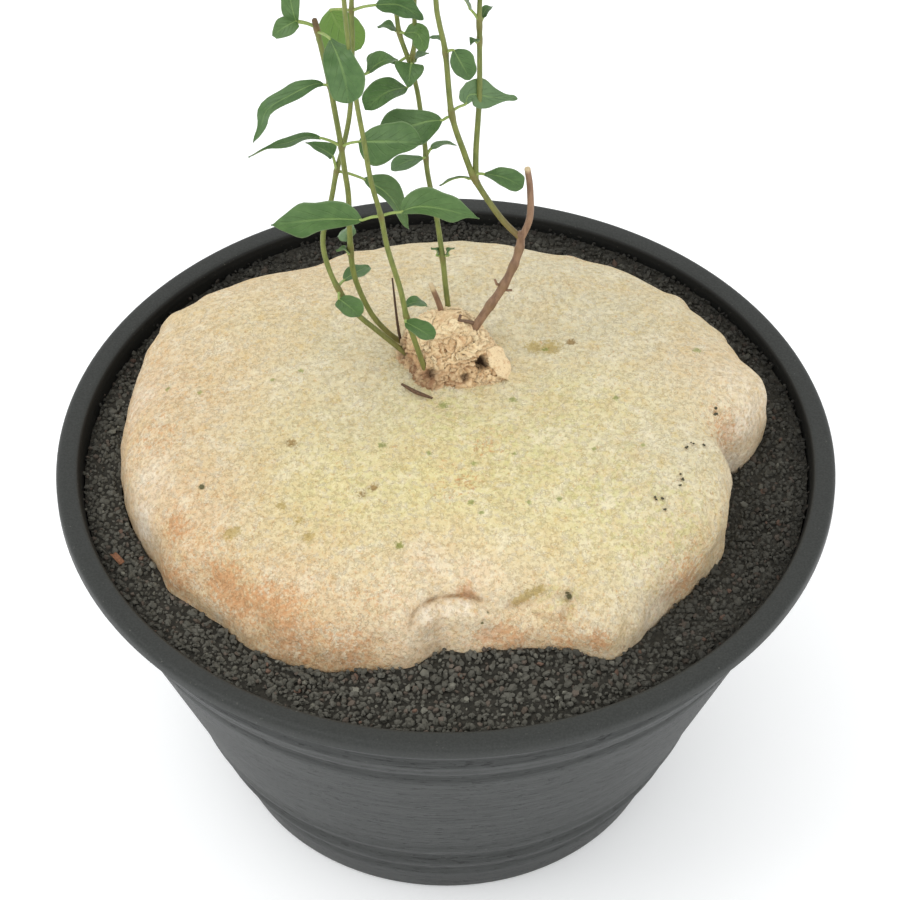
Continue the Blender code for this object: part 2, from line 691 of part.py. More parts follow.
def tube(name, path, start_radius, end_radius, collection):
    """A round tapering rod along a path, as a closed mesh."""
    curve = bpy.data.curves.new(f"{name} route", "CURVE")
    curve.dimensions = "3D"
    curve.bevel_depth = start_radius
    curve.bevel_resolution = TUBE_ROUNDNESS
    curve.use_fill_caps = True
    spline = curve.splines.new("POLY")
    spline.points.add(len(path) - 1)
    for index, (point, place) in enumerate(zip(spline.points, path)):
        share = index / (len(path) - 1)
        point.co = (*place, 1)
        point.radius = 1 + (end_radius / start_radius - 1) * share
    guide = bpy.data.objects.new(f"{name} route", curve)
    collection.objects.link(guide)
    bpy.context.view_layer.update()
    mesh = bpy.data.meshes.new_from_object(guide.evaluated_get(bpy.context.evaluated_depsgraph_get()))
    bm = bmesh.new()
    bm.from_mesh(mesh)
    bmesh.ops.remove_doubles(bm, verts=bm.verts, dist=0.00001)
    rod = new_object(name, bm, collection)
    rod.matrix_world = guide.matrix_world
    bpy.data.objects.remove(guide)
    return rod


def blade_outline(share):
    """Width of an ovate blade as a share of its widest, from its base to its tip."""
    return math.sin(math.pi * share**0.8) ** 0.8 if 0 < share < 1 else 0.0


def blade(name, leaf, root, collection, cells, foot_width=PETIOLE_WIDTH, thickness=LEAF_THICKNESS):
    """A thin arched leaf blade on its petiole, folded a little along its rib."""
    base = Vector(leaf.base)
    axis = Vector(leaf.tip) - base
    along = axis.normalized()
    face = Vector(leaf.face)
    face = (face - along * face.dot(along)).normalized()
    side = along.cross(face)
    bm = bmesh.new()
    bmesh.ops.create_grid(bm, x_segments=2, y_segments=cells + 1, size=0.5)
    for vert in bm.verts:
        across = round(vert.co.x * 2)
        station = round((vert.co.y + 0.5) * (cells + 1))
        share = 0.5 - 0.5 * math.cos(math.pi * max(0, station - 1) / cells)
        centre = Vector(root) if station == 0 else base + axis * share + face * leaf.arch * 4 * share * (1 - share)
        end_width = foot_width if share < 0.5 else TIP_WIDTH
        half = max(end_width, leaf.width * blade_outline(share)) / 2
        vert.co = centre + side * across * half + face * abs(across) * half * leaf.fold * min(1, station)
    bmesh.ops.triangulate(bm, faces=bm.faces)
    bmesh.ops.solidify(bm, geom=bm.faces, thickness=thickness)
    bmesh.ops.recalc_face_normals(bm, faces=bm.faces)
    return new_object(name, bm, collection)


def point_at_height(path, height):
    for low, high in zip(path, path[1:]):
        if low.z <= height <= high.z:
            return low.lerp(high, (height - low.z) / (high.z - low.z))
    raise ValueError(f"no stem at height {height}")


def rooted_path(shoot):
    """A stem's path, led straight back into the crown by the depth of its hole."""
    first, second = Vector(shoot.route[0]), Vector(shoot.route[1])
    root = first + (first - second).normalized() * ROOT_DEPTH
    return smooth_path([root, *shoot.route])


def stem_holes():
    """Cutters for the plain holes that the stems stand in."""
    holes = new_collection("stem hole cutters")
    for name, shoots in STEMS.items():
        shoot = shoots[0]
        first, second = Vector(shoot.route[0]), Vector(shoot.route[1])
        outward = (second - first).normalized()
        bottom = first - outward * (ROOT_DEPTH + FIT_GAP)
        depth = ROOT_DEPTH + FIT_GAP + HOLE_REACH
        radius = shoot.start_radius + FIT_GAP
        bm = bmesh.new()
        bmesh.ops.create_cone(bm, cap_ends=True, segments=12, radius1=radius, radius2=radius + HOLE_FLARE,
                              depth=depth)
        cutter = new_object(f"{name} hole", bm, holes)
        turn = outward.to_track_quat("Z", "Y").to_matrix().to_4x4()
        cutter.matrix_world = Matrix.Translation(bottom + outward * depth / 2) @ turn
    return holes


def make_stem(name, shoots, collection, mat):
    leaves = new_collection(f"{name} leaves")
    stem = None
    for index, shoot in enumerate(shoots):
        path = rooted_path(shoot) if index == 0 else smooth_path(shoot.route)
        rod = tube(name if index == 0 else f"{name} shoot {index}", path, shoot.start_radius, shoot.end_radius,
                   collection if index == 0 else leaves)
        stem = stem or rod
        for number, leaf in enumerate(shoot.leaves):
            cells = SMALL_LEAF_CELLS if leaf.width < SMALL_LEAF else LEAF_CELLS
            blade(f"{name} leaf {index} {number}", leaf, point_at_height(path, leaf.height), leaves, cells)
    combine(stem, leaves, "UNION")
    finish(stem, mat, 50)
    return stem


def main():
    clear_scene()
    collection = new_collection("potted raphionacme")
    make_pot(collection)
    make_soil(collection)
    make_caudex(collection)
    for name, shoots in STEMS.items():
        color = (0.16, 0.13, 0.05) if name == "stem_woody" else (0.07, 0.16, 0.05)
        make_stem(name, shoots, collection, material(f"{name} green", color, 0.5))


main()
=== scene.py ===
"""Looks of the potted raphionacme: bark, corky crown, leafy stems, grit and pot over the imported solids."""

import math
import random
from collections import namedtuple

import bmesh
import bpy
import numpy as np
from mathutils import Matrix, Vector, noise


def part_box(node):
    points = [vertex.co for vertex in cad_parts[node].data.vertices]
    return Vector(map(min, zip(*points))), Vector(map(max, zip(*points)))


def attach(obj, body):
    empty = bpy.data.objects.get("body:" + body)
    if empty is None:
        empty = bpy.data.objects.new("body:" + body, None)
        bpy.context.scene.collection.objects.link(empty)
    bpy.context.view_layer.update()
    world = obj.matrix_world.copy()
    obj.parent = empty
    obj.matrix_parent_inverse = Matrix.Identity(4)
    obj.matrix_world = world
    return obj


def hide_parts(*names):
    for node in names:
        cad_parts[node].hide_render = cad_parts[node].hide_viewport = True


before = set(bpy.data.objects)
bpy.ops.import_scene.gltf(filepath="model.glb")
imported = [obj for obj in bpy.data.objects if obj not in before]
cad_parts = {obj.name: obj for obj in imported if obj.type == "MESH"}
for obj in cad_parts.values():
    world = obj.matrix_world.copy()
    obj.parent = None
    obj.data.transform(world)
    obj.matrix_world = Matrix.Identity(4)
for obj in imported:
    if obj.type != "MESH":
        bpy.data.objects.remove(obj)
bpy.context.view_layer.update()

BODY = "root"
MM = 0.001
UP = (0, 0, 1)
FRONT = (0, -1, 0.5)

Groove = namedtuple("Groove", "line width depth")
Blot = namedtuple("Blot", "place size strength")
# via are places that the rib passes. left and right are half widths at even steps from base to tip, as seen
# from the base with the upper face towards the eye; without them the blade is an even oval of a width.
# wave ripples the edges, pallor greys the leaf, and glow paints light coming through it, which makes it
# yellower.
Leaf = namedtuple("Leaf", "height base tip width face arch fold via left right wave pallor glow")
Shoot = namedtuple("Shoot", "route start_radius end_radius leaves")


def metres(value):
    """A length given in millimetres, or a list of such lengths or places, in metres."""
    return MM * value if isinstance(value, (int, float)) else [metres(part) for part in value]


def by_direction(rows):
    """Lengths given in millimetres by direction in degrees, in metres."""
    return [(degrees, MM * length) for degrees, length in rows]


def blots(rows):
    """Soft round spots of a tint. Each row is x, y, z and size in millimetres, then strength."""
    return [Blot(metres((x, y, z)), MM * size, strength) for x, y, z, size, strength in rows]


def leaf_mm(height, base, tip, width=8, face=UP, arch=1.5, fold=0.22, via=(), left=(), right=(), wave=0.3,
            pallor=0.0, glow=0.0):
    """A leaf given in millimetres. height is where its stalk leaves the stem."""
    return Leaf(MM * height, metres(base), metres(tip), MM * width, face, MM * arch, fold, metres(via),
                metres(left), metres(right), MM * wave, pallor, glow)


def shoot_mm(route, start_radius, end_radius, leaves=()):
    """A shoot given in millimetres: the places that it passes, its radius at both ends, and its leaves."""
    return Shoot(metres(route), MM * start_radius, MM * end_radius, leaves)


# Pot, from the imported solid, with the rings turned into its wall
POT_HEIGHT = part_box("pot")[1].z
RIM_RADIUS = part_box("pot")[1].x
WALL_TOP_RADIUS = RIM_RADIUS - 0.0021
BASE_RADIUS = 0.0772
RIM_BAND = 0.0082
RIM_DEPTH = 0.0055
RIM_ROUNDING = 0.0022
WALL_THICKNESS = 0.0038
FLOOR_TOP = 0.0055
FOOT_WIDTH = 0.017
FOOT_RECESS = 0.002
POT_SEGMENTS = 192
RIM_STEPS = 6
WALL_STEPS = 112
# Depths under the rim at which the inner wall has a row of points.
INSIDE_DEPTHS = (0.060, 0.030, 0.018, 0.012, 0.009, 0.006, 0.004, 0.0028)
# Rings: depth under the rim, how far they stand out, and their half height.
WALL_RINGS = metres([
    (8.3, -0.8, 2.4), (12.5, 0.6, 2.2), (17.5, -1, 2.4), (22, 0.7, 2.4), (27, 0.6, 2.4), (33, -1.5, 3),
    (104.5, 0.8, 3), (110.7, -1, 2.8), (117.5, 0.8, 3), (124, -1, 3),
])
DRAIN_RADIUS = 0.0045
DRAIN_CIRCLE = 0.040
DRAIN_COUNT = 4

# Grit
SOIL_LEVEL = 0.136
# How much the grit rises towards the right and the back.
SOIL_SLOPE = (0.008, 0.012)
SOIL_RIPPLE = 0.0009
SOIL_HEAP = 0.006
SOIL_HEAP_PLACE = (0.018, -0.092)
SOIL_HEAP_REACH = (0.034, 0.014)
GRAIN_SPACING = 0.0018
GRAIN_SIZES = (0.0007, 0.0016)
LARGE_GRAIN_SIZES = (0.0015, 0.0021)
GRAIN_SHAPES = 14
GRAIN_CUTS = 7
# Share of the grains that are small, and share that has another one lying on it.
SMALL_GRAIN_SHARE = 0.92
TOP_GRAIN_SHARE = 0.30
# Kinds of grain: up to which chance, lowest and highest tone, and how far red, green and blue lie under it.
GRAIN_KINDS = [
    (0.86, 61, 71, (0, 1, 7)),
    (0.955, 64, 78, (0, 7, 14)),
    (0.993, 78, 92, (0, 1, 9)),
    (1.0, 84, 84, (0, 17, 27)),
]
GRIT_PIECES = 4
GRIT_SEED = 3

# Caudex
CAUDEX_TOP = 0.1712
CAUDEX_BOTTOM = 0.070
CAUDEX_AROUND = 500
CAUDEX_TOP_RINGS = 132
CAUDEX_UNDER_RINGS = 14
BELLY_POWER = 2.2
CAUDEX_OUTLINE = by_direction([
    (1, 105.5), (7, 112), (18, 109), (32, 107.8), (44, 105.6), (55, 102.6), (66, 98.6), (82, 97),
    (96, 97.4), (109, 96.8), (125, 99.6), (136, 108), (148, 114.8), (157, 115), (165, 112.4),
    (178, 112.2), (191, 111.2), (204, 108.2), (216, 105.8), (227, 103.6), (237, 104.4), (247, 101.8),
    (256, 97), (264, 92.4), (272, 88.5), (284, 90.5), (293, 93), (302, 103.5), (312, 101.5),
    (324, 101.2), (336, 102.4), (348, 97.5), (355, 94.8),
])
WAIST_HEIGHT = by_direction([
    (5, 142), (45, 141), (90, 142), (135, 140), (180, 137), (225, 130), (270, 129), (315, 133),
    (345, 139),
])
# How square the shoulder is, by direction in degrees: it is crisp beside the notch.
SHOULDER_POWER = [
    (20, 3.8), (60, 3.2), (180, 3.2), (300, 3.2), (325, 4.2), (347, 6),
]
# Small knobs and nicks of the lip: direction and half width in degrees, and how many mm they stand out.
LIP_KNOBS = [
    (38, 2.4, 1.8), (25.4, 2.2, 1.4), (12, 3, 0.9), (4, 2.5, -0.6), (351, 2.5, -0.9), (346.5, 2, 0.8),
    (340.5, 3, -0.8), (318, 3, -1), (308, 3, 1), (299.5, 5, 3.4), (291, 4, 3), (283, 5, 2.2),
    (275, 3.5, 3.2), (269, 1.6, -1.4), (62, 2.5, 1.2), (74, 4, -1), (86, 3, 1.2), (111, 3.5, 1.6),
    (121, 3.5, -1.6), (141, 2.5, 0.8), (150, 1.6, 1.8), (155.5, 2.5, -0.8), (213, 4.5, 3.2),
    (221, 3, 0.8), (230, 4.5, 2), (262.5, 3, 2.4),
]
BARK_RELIEF = 0.0011
BARK_FOOT = 0.134
BARK_SCALE = 0.026
# Finer lumps of the bark: size and height.
BARK_LUMPS = metres([(13, 0.55), (5.5, 0.22), (2.6, 0.10)])
LIP_RELIEF = 0.0008
LIP_SCALE = 0.0070

# The skin fold on the front, in millimetres.
FOLD_LINE = [
    (-11.3, -89.2, 151), (-10.6, -86.8, 154), (-8, -84.2, 155.5), (-4.5, -82.2, 156.5),
    (0.7, -80.6, 156.5), (6.4, -80.4, 157), (11.4, -81.7, 156),
]
# Creases, hollows and swellings: their line over the skin, half width, and depth (negative stands out).
GROOVES = [Groove(metres(line), MM * width, MM * depth) for line, width, depth in (
    ([(37, 36, 171)], 8, 1.2),
    ([(46, -70, 163)], 14, 3),
    (FOLD_LINE, 0.7, 1.3),
    ([(-6, -87, 151), (3, -85, 152), (12, -85, 152)], 4, -1.4),
    ([(24.4, -82.2, 154.7), (32.5, -82.1, 154.1), (38.7, -82.3, 154.3)], 5, 2.8),
    ([(39.8, -80.2, 157.1), (39.4, -81, 156)], 1.2, 2.2),
    ([(12, -86.4, 150.2)], 0.8, 0.7),
    ([(13.9, -84.3, 152.9)], 0.9, 0.7),
    ([(30.7, 23.1, 171), (37.6, 23.5, 170)], 2.6, 1.2),
    ([(43.2, 25.6, 170)], 1.3, 1.2),
    ([(-27.7, -46.3, 169), (-23.7, -43.8, 170)], 1, 0.8),
    ([(-51.9, -22, 169)], 1.4, 0.6),
    ([(-81.4, -36.9, 163)], 1.1, 0.9),
    ([(-60, -83, 145), (-70, -74, 148), (-82, -62, 149)], 4, 0.9),
    ([(98, -12, 150), (88, -45, 152), (80, -60, 148)], 6, -0.9),
)]
# Dark lines of painted shade along the skin fold and the hollow beside it: their line over the skin, half width
# and strength.
SHADED_LINES = [(metres(line), MM * width, strength) for line, width, strength in (
    (FOLD_LINE, 0.6, 0.72),
    (FOLD_LINE, 2.2, 0.3),
    ([(6.4, -79.6, 157.8), (10.5, -81.2, 156.4)], 1.3, 0.55),
    ([(20.2, -82.8, 154.6), (24.4, -82.2, 154.7), (27.7, -81.8, 154.8)], 1.4, 0.35),
    ([(39.4, -81.9, 155.1), (38.4, -84, 151.8), (38.7, -85.1, 149.9)], 1.4, 0.42),
    ([(29.8, -84.4, 151.5), (33.5, -84.7, 150.7), (37.4, -85, 149.9)], 0.9, 0.42),
)]
# Painted shade on the front where the bark meets the grit: its top, how deep it fades in and its strength.
FOOT_SHADE_TOP = 0.1372
FOOT_SHADE_DEPTH = 0.004
FOOT_SHADE = 0.30
# The faint painted shade of the left side: how far out it starts, over what width it grows, and its strength.
LEFT_SHADE_START = 0.05
LEFT_SHADE_REACH = 0.05
LEFT_SHADE = 0.09
RUST_BLOTS = blots([
    (-73.4, -68.9, 150.6, 9, 1.3), (-68, -74.3, 148.5, 9, 1.2), (-59.8, -78.1, 152, 8, 1.1),
    (-53.1, -83.6, 151.9, 10, 1.1), (-89.5, -47.8, 154.2, 6, 1.1), (-91.9, -53.6, 138.8, 6, 1.1),
    (-87, -58.3, 141.8, 7, 1.1), (-82, -60, 152, 14, 0.5), (-97, -12, 160, 13, 0.5),
    (-106, 12, 155, 13, 0.35), (-48, -87, 143, 15, 0.8), (-31, -91, 142, 13, 0.8),
    (-23, -83, 157, 11, 0.45), (1.5, -42, 170, 9, 0.45), (6.8, -41.5, 169.9, 5, 0.8),
    (13.5, -24.6, 171, 6, 0.7), (6.7, -79.8, 157.6, 3, 1.4), (14.6, -88.5, 145, 6, 1.1),
    (18, -88.2, 146.2, 6, 1.1), (21.6, -88.8, 144.1, 6, 1), (38, -87, 143, 8, 0.6),
    (78, -63, 145, 11, 0.8), (93, -4, 158, 9, 0.9), (50, -89.5, 145, 4, 1.2), (50, 87, 150, 13, 0.9),
    (-45, 92, 148, 16, 0.8), (0, 98, 146, 10, 0.7), (-85, 68, 148, 12, 0.8), (85, 55, 148, 10, 0.7),
])
PINK_BLOTS = blots([
    (-6, -71, 164, 13, 0.8), (9, -75, 160, 12, 0.8), (-100, 10, 158, 45, 0.8), (-88, -45, 160, 32, 0.9),
    (-50, -80, 150, 30, 0.9), (-10, -86, 150, 26, 0.6), (30, -84, 147, 24, 0.5), (95, 20, 160, 24, 0.6),
    (-60, 70, 165, 40, 0.5),
])
# Paler skin. The broad blot on the front is painted light, lifting that steep side where less light falls.
PALE_BLOTS = blots([
    (102, 2, 156, 10, 0.75), (107, 12, 156, 9, 0.75), (99, 10, 161, 10, 0.6), (0, -84, 152, 24, 0.32),
    (96, -10, 139, 14, 0.9), (68, -76, 140, 14, 0.5), (-100, -27, 156, 10, 0.5),
    (-105, 12, 156, 9, 0.5), (-102, -37.4, 143.6, 6, 1), (-101.6, -35.9, 147.9, 5, 1),
    (-6.5, -85.7, 153.4, 3.5, 0.9), (0, -83, 153.5, 3.5, 0.9), (6.3, -83.6, 154.3, 3.5, 0.8),
])
GREEN_BLOTS = blots([
    (73, -50, 161, 16, 1), (64, -59, 160, 14, 0.9), (58, -34, 168, 16, 0.6), (25, -27, 170, 24, 0.7),
    (39, -12, 170, 20, 0.6), (51, -46, 167, 18, 0.8), (1, -10, 171, 18, 0.8), (38, -80, 155, 8, 0.9),
    (-30, -45, 170, 24, 0.5),
])
GREY_BLOTS = blots([
    (40, 70, 168, 45, 0.6), (50, 30, 170, 30, 0.6), (-20, 60, 168, 40, 0.3), (-30, 10, 170, 30, 0.5),
    (70, -30, 166, 28, 0.6), (75, 15, 166, 28, 0.5),
])
YELLOW_BLOTS = blots([
    (0, -40, 170, 40, 0.9), (-40, -45, 168, 34, 0.8), (40, -45, 168, 34, 0.8), (50, -5, 170, 28, 0.6),
    (-45, -10, 170, 28, 0.5),
])
STAIN_BLOTS = blots([
    (-51.9, -22, 169, 2.6, 0.9), (43.2, 25.6, 170, 2.4, 1), (-23.7, -43.8, 170, 2, 0.9),
    (-27.7, -46.3, 169, 2.2, 0.8), (-15.3, -66.5, 166, 1.8, 0.8),
])
PIT_BLOTS = blots([
    (39.8, -80.8, 156.2, 1.3, 1.3), (39.2, -80, 157.3, 0.8, 1.1), (12, -86.4, 150.2, 0.8, 0.8),
    (13.9, -84.3, 152.9, 0.8, 0.7), (-81.4, -36.9, 163, 1.4, 1.1),
])
DIMPLE_BLOTS = blots([
    (30.7, 23.1, 171, 4.2, 1), (36, 22.8, 170, 4.6, 1.1), (-71.2, -55.6, 160, 2.6, 1.2),
    (-68.8, -55, 160.5, 2.2, 1), (-54.2, -48.8, 166.5, 2, 1.1), (-48.5, -55, 166, 2.2, 0.9),
    (-45, -61.5, 165, 2.6, 1), (23.5, -81.8, 155.3, 1.8, 1.3), (25.5, -80.8, 156, 1.8, 1.3),
    (27.2, -79.8, 156.7, 1.8, 1.3), (29.3, -79, 157.2, 1.8, 1.3), (31.3, -78.2, 157.7, 1.8, 1.2),
])
# Moss and dark specks: place in plan and size.
MOSS_DOTS = metres([
    (-0.9, -6, 2.2), (-21.3, -24.9, 1.8), (-5.6, -29.4, 1.3), (9.5, -33.5, 1.2), (23.1, -28.6, 1),
    (27.5, -49.9, 1.1), (11.8, -54.3, 1), (22.8, -3, 1.6), (57.8, -2.8, 1.4), (86.9, 26.1, 1.8),
    (37.6, -47.8, 1.3), (8.4, -50.2, 1.4), (-84, 5.6, 1.3), (-95.4, 10.3, 1.2), (-58.9, 7, 1.1),
    (-49.5, 11.2, 1.1), (66.2, -24.6, 1.2), (49.7, -26.6, 1.1), (-15.3, -66.5, 1.7), (34.2, 22.5, 1.6),
])
DARK_SPECKS = metres([
    (91.5, -3.9, 1.3), (80.9, -24.2, 0.7), (83, -21.7, 0.6), (87.2, -20.7, 0.7), (78, -35.7, 0.6),
    (78.6, -37.8, 0.7), (78.2, -40.2, 0.6), (69.5, -45.9, 0.7), (71.9, -45.9, 0.8), (72.8, -49.8, 0.7),
])

# Corky crown: its middle in plan, how its top leans, and its heights.
CROWN_MIDDLE = (0.002, 0.018)
CROWN_LEAN = (-0.0015, 0.0035)
CROWN_FOOT_HEIGHT = 0.1690
CROWN_TOP_HEIGHT = 0.1874
# Radius of its foot by direction in degrees.
CROWN_FOOT = by_direction([
    (4, 17.2), (45, 15), (90, 14), (135, 15), (180, 18.7), (209, 16), (229, 17.7), (247, 18.2),
    (263, 15.3), (282, 16.6), (302, 17.2), (312, 18.7), (324, 21.6), (334, 20.8), (347, 19.2),
])
# How far a side bulges from a cone towards a dome, by direction.
CROWN_FULLNESS = [
    (0, 0.25), (60, 0.5), (120, 0.5), (180, 0.7), (232, 0.9), (265, 0.6), (300, 0.5), (325, 0.1),
]
# The cone's radius as a share of the foot's, by share of the height.
CROWN_CONE = [
    (0, 1), (0.13, 0.96), (0.25, 0.86), (0.45, 0.73), (0.65, 0.6), (0.82, 0.45), (0.93, 0.31),
    (0.985, 0.15), (1, 0),
]
CROWN_AROUND = 380
CROWN_RINGS = 120
CROWN_LAYER = 0.0012
CROWN_FOLD = 0.0008
CROWN_CRUMPLE = 0.00035
CROWN_FOLD_COUNT = 14
# Rotted holes: place, size and depth.
CROWN_HOLES = metres([
    (13, 9, 177.2, 2.4, 4.4), (6.6, 4.4, 174.1, 1.6, 2), (-5, 4, 176.2, 1.9, 1.9),
    (-14.9, 15.7, 174.5, 2, 1.6),
])
CROWN_BROWN = blots([
    (-13, 8, 174, 6, 1.2), (-16, 15, 175, 5, 1), (-7, 3, 174, 5, 1.2), (2, 3, 173, 5, 0.5),
    (8, 5, 176, 4, 0.4),
])

# The big papery scale that stands off the crown. A negative fold bends its edges away from its face.
FLAKE_ROUTE = metres([(16, 15, 178.5), (18.2, 12, 175.7), (19.5, 9, 173.5), (19.5, 5.8, 172.5)])
FLAKE_FACE = (0.60, -0.30, 0.75)
FLAKE_WIDTH = 0.0075
FLAKE_THICKNESS = 0.00035
FLAKE_FOLD = -0.10
FLAKE_WAVE = 0.0004
FLAKE_TONE = 0.75
FLAKE_SEED = 1

# Stems and leaves
SAMPLE_SPACING = 0.0016
FINE_SPACING = 0.0008
STEM_SIDES = 10
NODE_SWELLING = 0.24
NODE_REACH = 0.0016
ROOT_DEPTH = 0.006
LEAF_THICKNESS = 0.00045
LEAF_ALONG = 26
LEAF_ACROSS = 6
PETIOLE_RADIUS = 0.00055
# Width of an even blade along its length: under 1 it is widest nearer its base, with blunt ends.
BLADE_POWER = 0.8
LEAST_HALF_WIDTH = 0.00025
# Brown of the stems: the crown's height, how far up the foot's brown reaches, and how far it reaches at a node.
STEM_FOOT = 0.172
FOOT_TONE_REACH = 0.030
NODE_TONE_REACH = 0.0012

LEFT_OUTER = shoot_mm([
    (-15, 17, 175), (-24, 18, 184), (-30, 18, 191), (-36, 19, 201), (-40, 21, 212), (-41, 23, 222),
    (-38, 25, 236), (-36, 27, 247), (-33, 29, 259), (-31, 31, 272), (-30, 34, 295), (-30, 36, 311),
    (-28, 38, 340), (-25, 40, 372), (-23, 41, 398),
], 0.97, 0.66, [
    leaf_mm(201, (-36, 16, 199.5), (-29, 8, 199), arch=0.5, left=(1.5, 3.6, 4.3, 4.4, 4.2, 3.4, 2),
            right=(1, 3.2, 4, 4.3, 4.1, 3.3, 2)),
    leaf_mm(202, (-34.5, 25, 200), (-26, 33, 199), arch=0.5, left=(0.8, 2.4, 3, 3.2, 3, 2.2, 1),
            right=(0.8, 2.2, 3, 3.2, 3, 2.4, 1.2)),
    leaf_mm(247, (-37, 26, 254), (-46, 29, 257.5), arch=0.5, left=(2.2, 2.4, 2, 1.6, 1, 0.3),
            right=(3.4, 4.4, 3.6, 2.2, 1.2, 0.3)),
    leaf_mm(247, (-27.5, 29, 242), (-12.5, 31, 218), face=(0.5, -0.5, 0.5), via=[(-19, 30, 233.5)],
            left=(0.8, 3.6, 5.4, 5.6, 4.4, 2.4, 1.8, 0.6),
            right=(0.4, 1.8, 2.2, 2.4, 2.2, 1.8, 1.4, 0.6)),
    leaf_mm(307, (-37, 38, 305.5), (-28, 43, 285.5), face=FRONT, via=[(-34.5, 40, 297.5)],
            left=(1.5, 5, 6.4, 6.6, 6, 4.4, 1.5), right=(2, 6, 8.4, 8.8, 7.6, 5, 1.5), glow=1),
    leaf_mm(307, (-22.5, 34, 310.5), (-7, 31, 307), face=(0, -0.4, 1), via=[(-14.5, 33, 311)],
            left=(0.8, 3, 4.4, 4.6, 3.6, 1.8, 0.8), right=(0.8, 3, 3.4, 4.2, 3.8, 2, 0.8)),
    leaf_mm(340, (-31, 33, 343), (-40, 16, 340), width=11, arch=3),
    leaf_mm(340, (-30, 43, 343), (-38, 60, 340), width=11, arch=3),
    leaf_mm(372, (-21, 39, 375), (-4, 34, 374), width=9, arch=2.5),
    leaf_mm(372, (-29, 41, 375), (-45, 46, 374), width=9, arch=2.5),
    leaf_mm(396, (-25, 38, 401), (-28, 29, 408), width=4.5),
    leaf_mm(396, (-21, 44, 401), (-18, 52, 408), width=4.5),
])
LEFT_INNER = shoot_mm([
    (-15, 24, 172), (-20, 24, 177), (-26, 24, 187), (-31, 22, 206), (-32, 20, 228), (-32, 19, 243),
    (-33, 18, 255), (-34, 17, 267), (-36, 16, 285), (-37, 15, 294), (-39, 14, 308), (-41, 13, 321),
], 0.97, 0.9, [
    leaf_mm(216, (-32.5, 20, 216.5), (-36.5, 18, 219.5), width=3),
    leaf_mm(219, (-31.5, 22, 222), (-33.5, 25, 223), face=FRONT, left=(2, 3, 3.2, 3, 2),
            right=(2, 3.2, 3.4, 3.2, 2.2), pallor=0.9),
    leaf_mm(266, (-40, 14, 272), (-63.5, 8, 269),
            via=[(-45.5, 12.5, 273.5), (-50.5, 11, 272.5), (-57.5, 9, 272)],
            left=(0.4, 1.6, 2.2, 2.6, 2, 0.5, 0.3, 0.2),
            right=(0.4, 1.8, 2.4, 2.5, 1.8, 0.5, 0.3, 0.2)),
    leaf_mm(266, (-28, 14, 270.5), (-7.5, 8, 275), face=(0, -0.6, 1), via=[(-18, 11, 273)],
            left=(1, 4, 5.5, 6.2, 6.4, 5.1, 1), right=(2, 7, 9.2, 8.2, 4.9, 3, 0.6)),
    leaf_mm(293, (-38, 14, 294), (-61.5, 6, 277), face=(-0.2, -0.4, 1),
            via=[(-42, 13, 295), (-49.5, 10.5, 292.5), (-56.5, 8, 289), (-58.5, 7, 283.5)],
            left=(0.4, 1.7, 3, 2.8, 2.6, 2.4, 1.6, 0.5), right=(0.4, 1.9, 3.2, 3, 3.2, 3, 1, 0.4)),
    leaf_mm(318, (-46.5, 12, 321), (-49, 16, 336.5), face=(-0.3, -0.8, 0.5),
            left=(1.5, 3.2, 3.4, 3, 3.2, 2.6, 0.5), right=(0.5, 1.6, 2.4, 3.2, 3.4, 2.4, 0.5)),
    leaf_mm(318, (-46.5, 12, 321.5), (-54, 10, 317), face=(0, -0.6, 0.8), left=(2, 3.2, 3.2, 2.4, 1),
            right=(2, 3, 3.2, 2.2, 1)),
    leaf_mm(316, (-36, 5, 320), (-30, -12, 308), face=FRONT, via=[(-33, -5, 320), (-31, -9, 314.2)],
            left=(0.5, 2, 4, 5.4, 6.5, 5.6, 3), right=(0.5, 2.6, 4.4, 5.3, 5.6, 5.2, 3.6)),
])
FRONT_STEM = shoot_mm([
    (-8, 6, 180), (-11, 5, 193), (-13, 4, 202), (-15, 3, 216), (-19, 2, 235), (-21, 1, 250),
    (-24, 0, 266), (-26, -1, 284), (-28, -2, 301), (-30, -3, 325), (-31, -4, 342), (-32, -5, 372),
    (-31, -6, 404), (-29, -6, 432),
], 0.97, 0.66, [
    leaf_mm(202, (-13.5, 2, 202), (-4, -5, 201), via=[(-9, -1, 201.5)],
            left=(1, 3.2, 3.8, 4, 3.8, 3.2, 1.8), right=(0.8, 2.4, 3, 3.4, 3.4, 3, 1.8)),
    leaf_mm(203, (-13.5, 6, 205.5), (-6.5, 9, 203), left=(0.8, 2.2, 2.6, 2.8, 2.6, 2, 1),
            right=(0.6, 1.6, 2, 2.2, 2.2, 1.8, 1)),
    leaf_mm(250, (-27, -1, 250), (-56.5, -4, 250.5), face=(0, -0.45, 1), via=[(-39.5, -2.5, 251.5)],
            left=(0.8, 2.6, 3.7, 4.6, 6.4, 3.8, 0.3), right=(1.2, 5.3, 6.2, 5.5, 5.8, 3, 0.3)),
    leaf_mm(250, (-14.5, 3, 250), (11, 2, 248), face=(0, -0.45, 1),
            via=[(-9, 2.5, 252.5), (-1, 2, 252)], left=(1.8, 5.2, 6.7, 5.6, 4.6, 2.3, 0.2),
            right=(0.6, 2.2, 3, 3.8, 4.4, 1, 0.2)),
    leaf_mm(309, (-24, -2, 312), (-15, 4, 312), width=7, arch=2, fold=0.5),
    leaf_mm(372, (-33, -10, 375), (-37, -28, 371), width=12, arch=3),
    leaf_mm(372, (-31, 0, 375), (-27, 18, 371), width=12, arch=3),
    leaf_mm(404, (-36, -6, 407), (-52, -8, 405), width=10, arch=2.5),
    leaf_mm(404, (-26, -6, 407), (-10, -4, 405), width=10, arch=2.5),
    leaf_mm(430, (-30, -9, 436), (-31, -18, 443), width=5),
    leaf_mm(430, (-28, -3, 436), (-26, 5, 443), width=5),
])
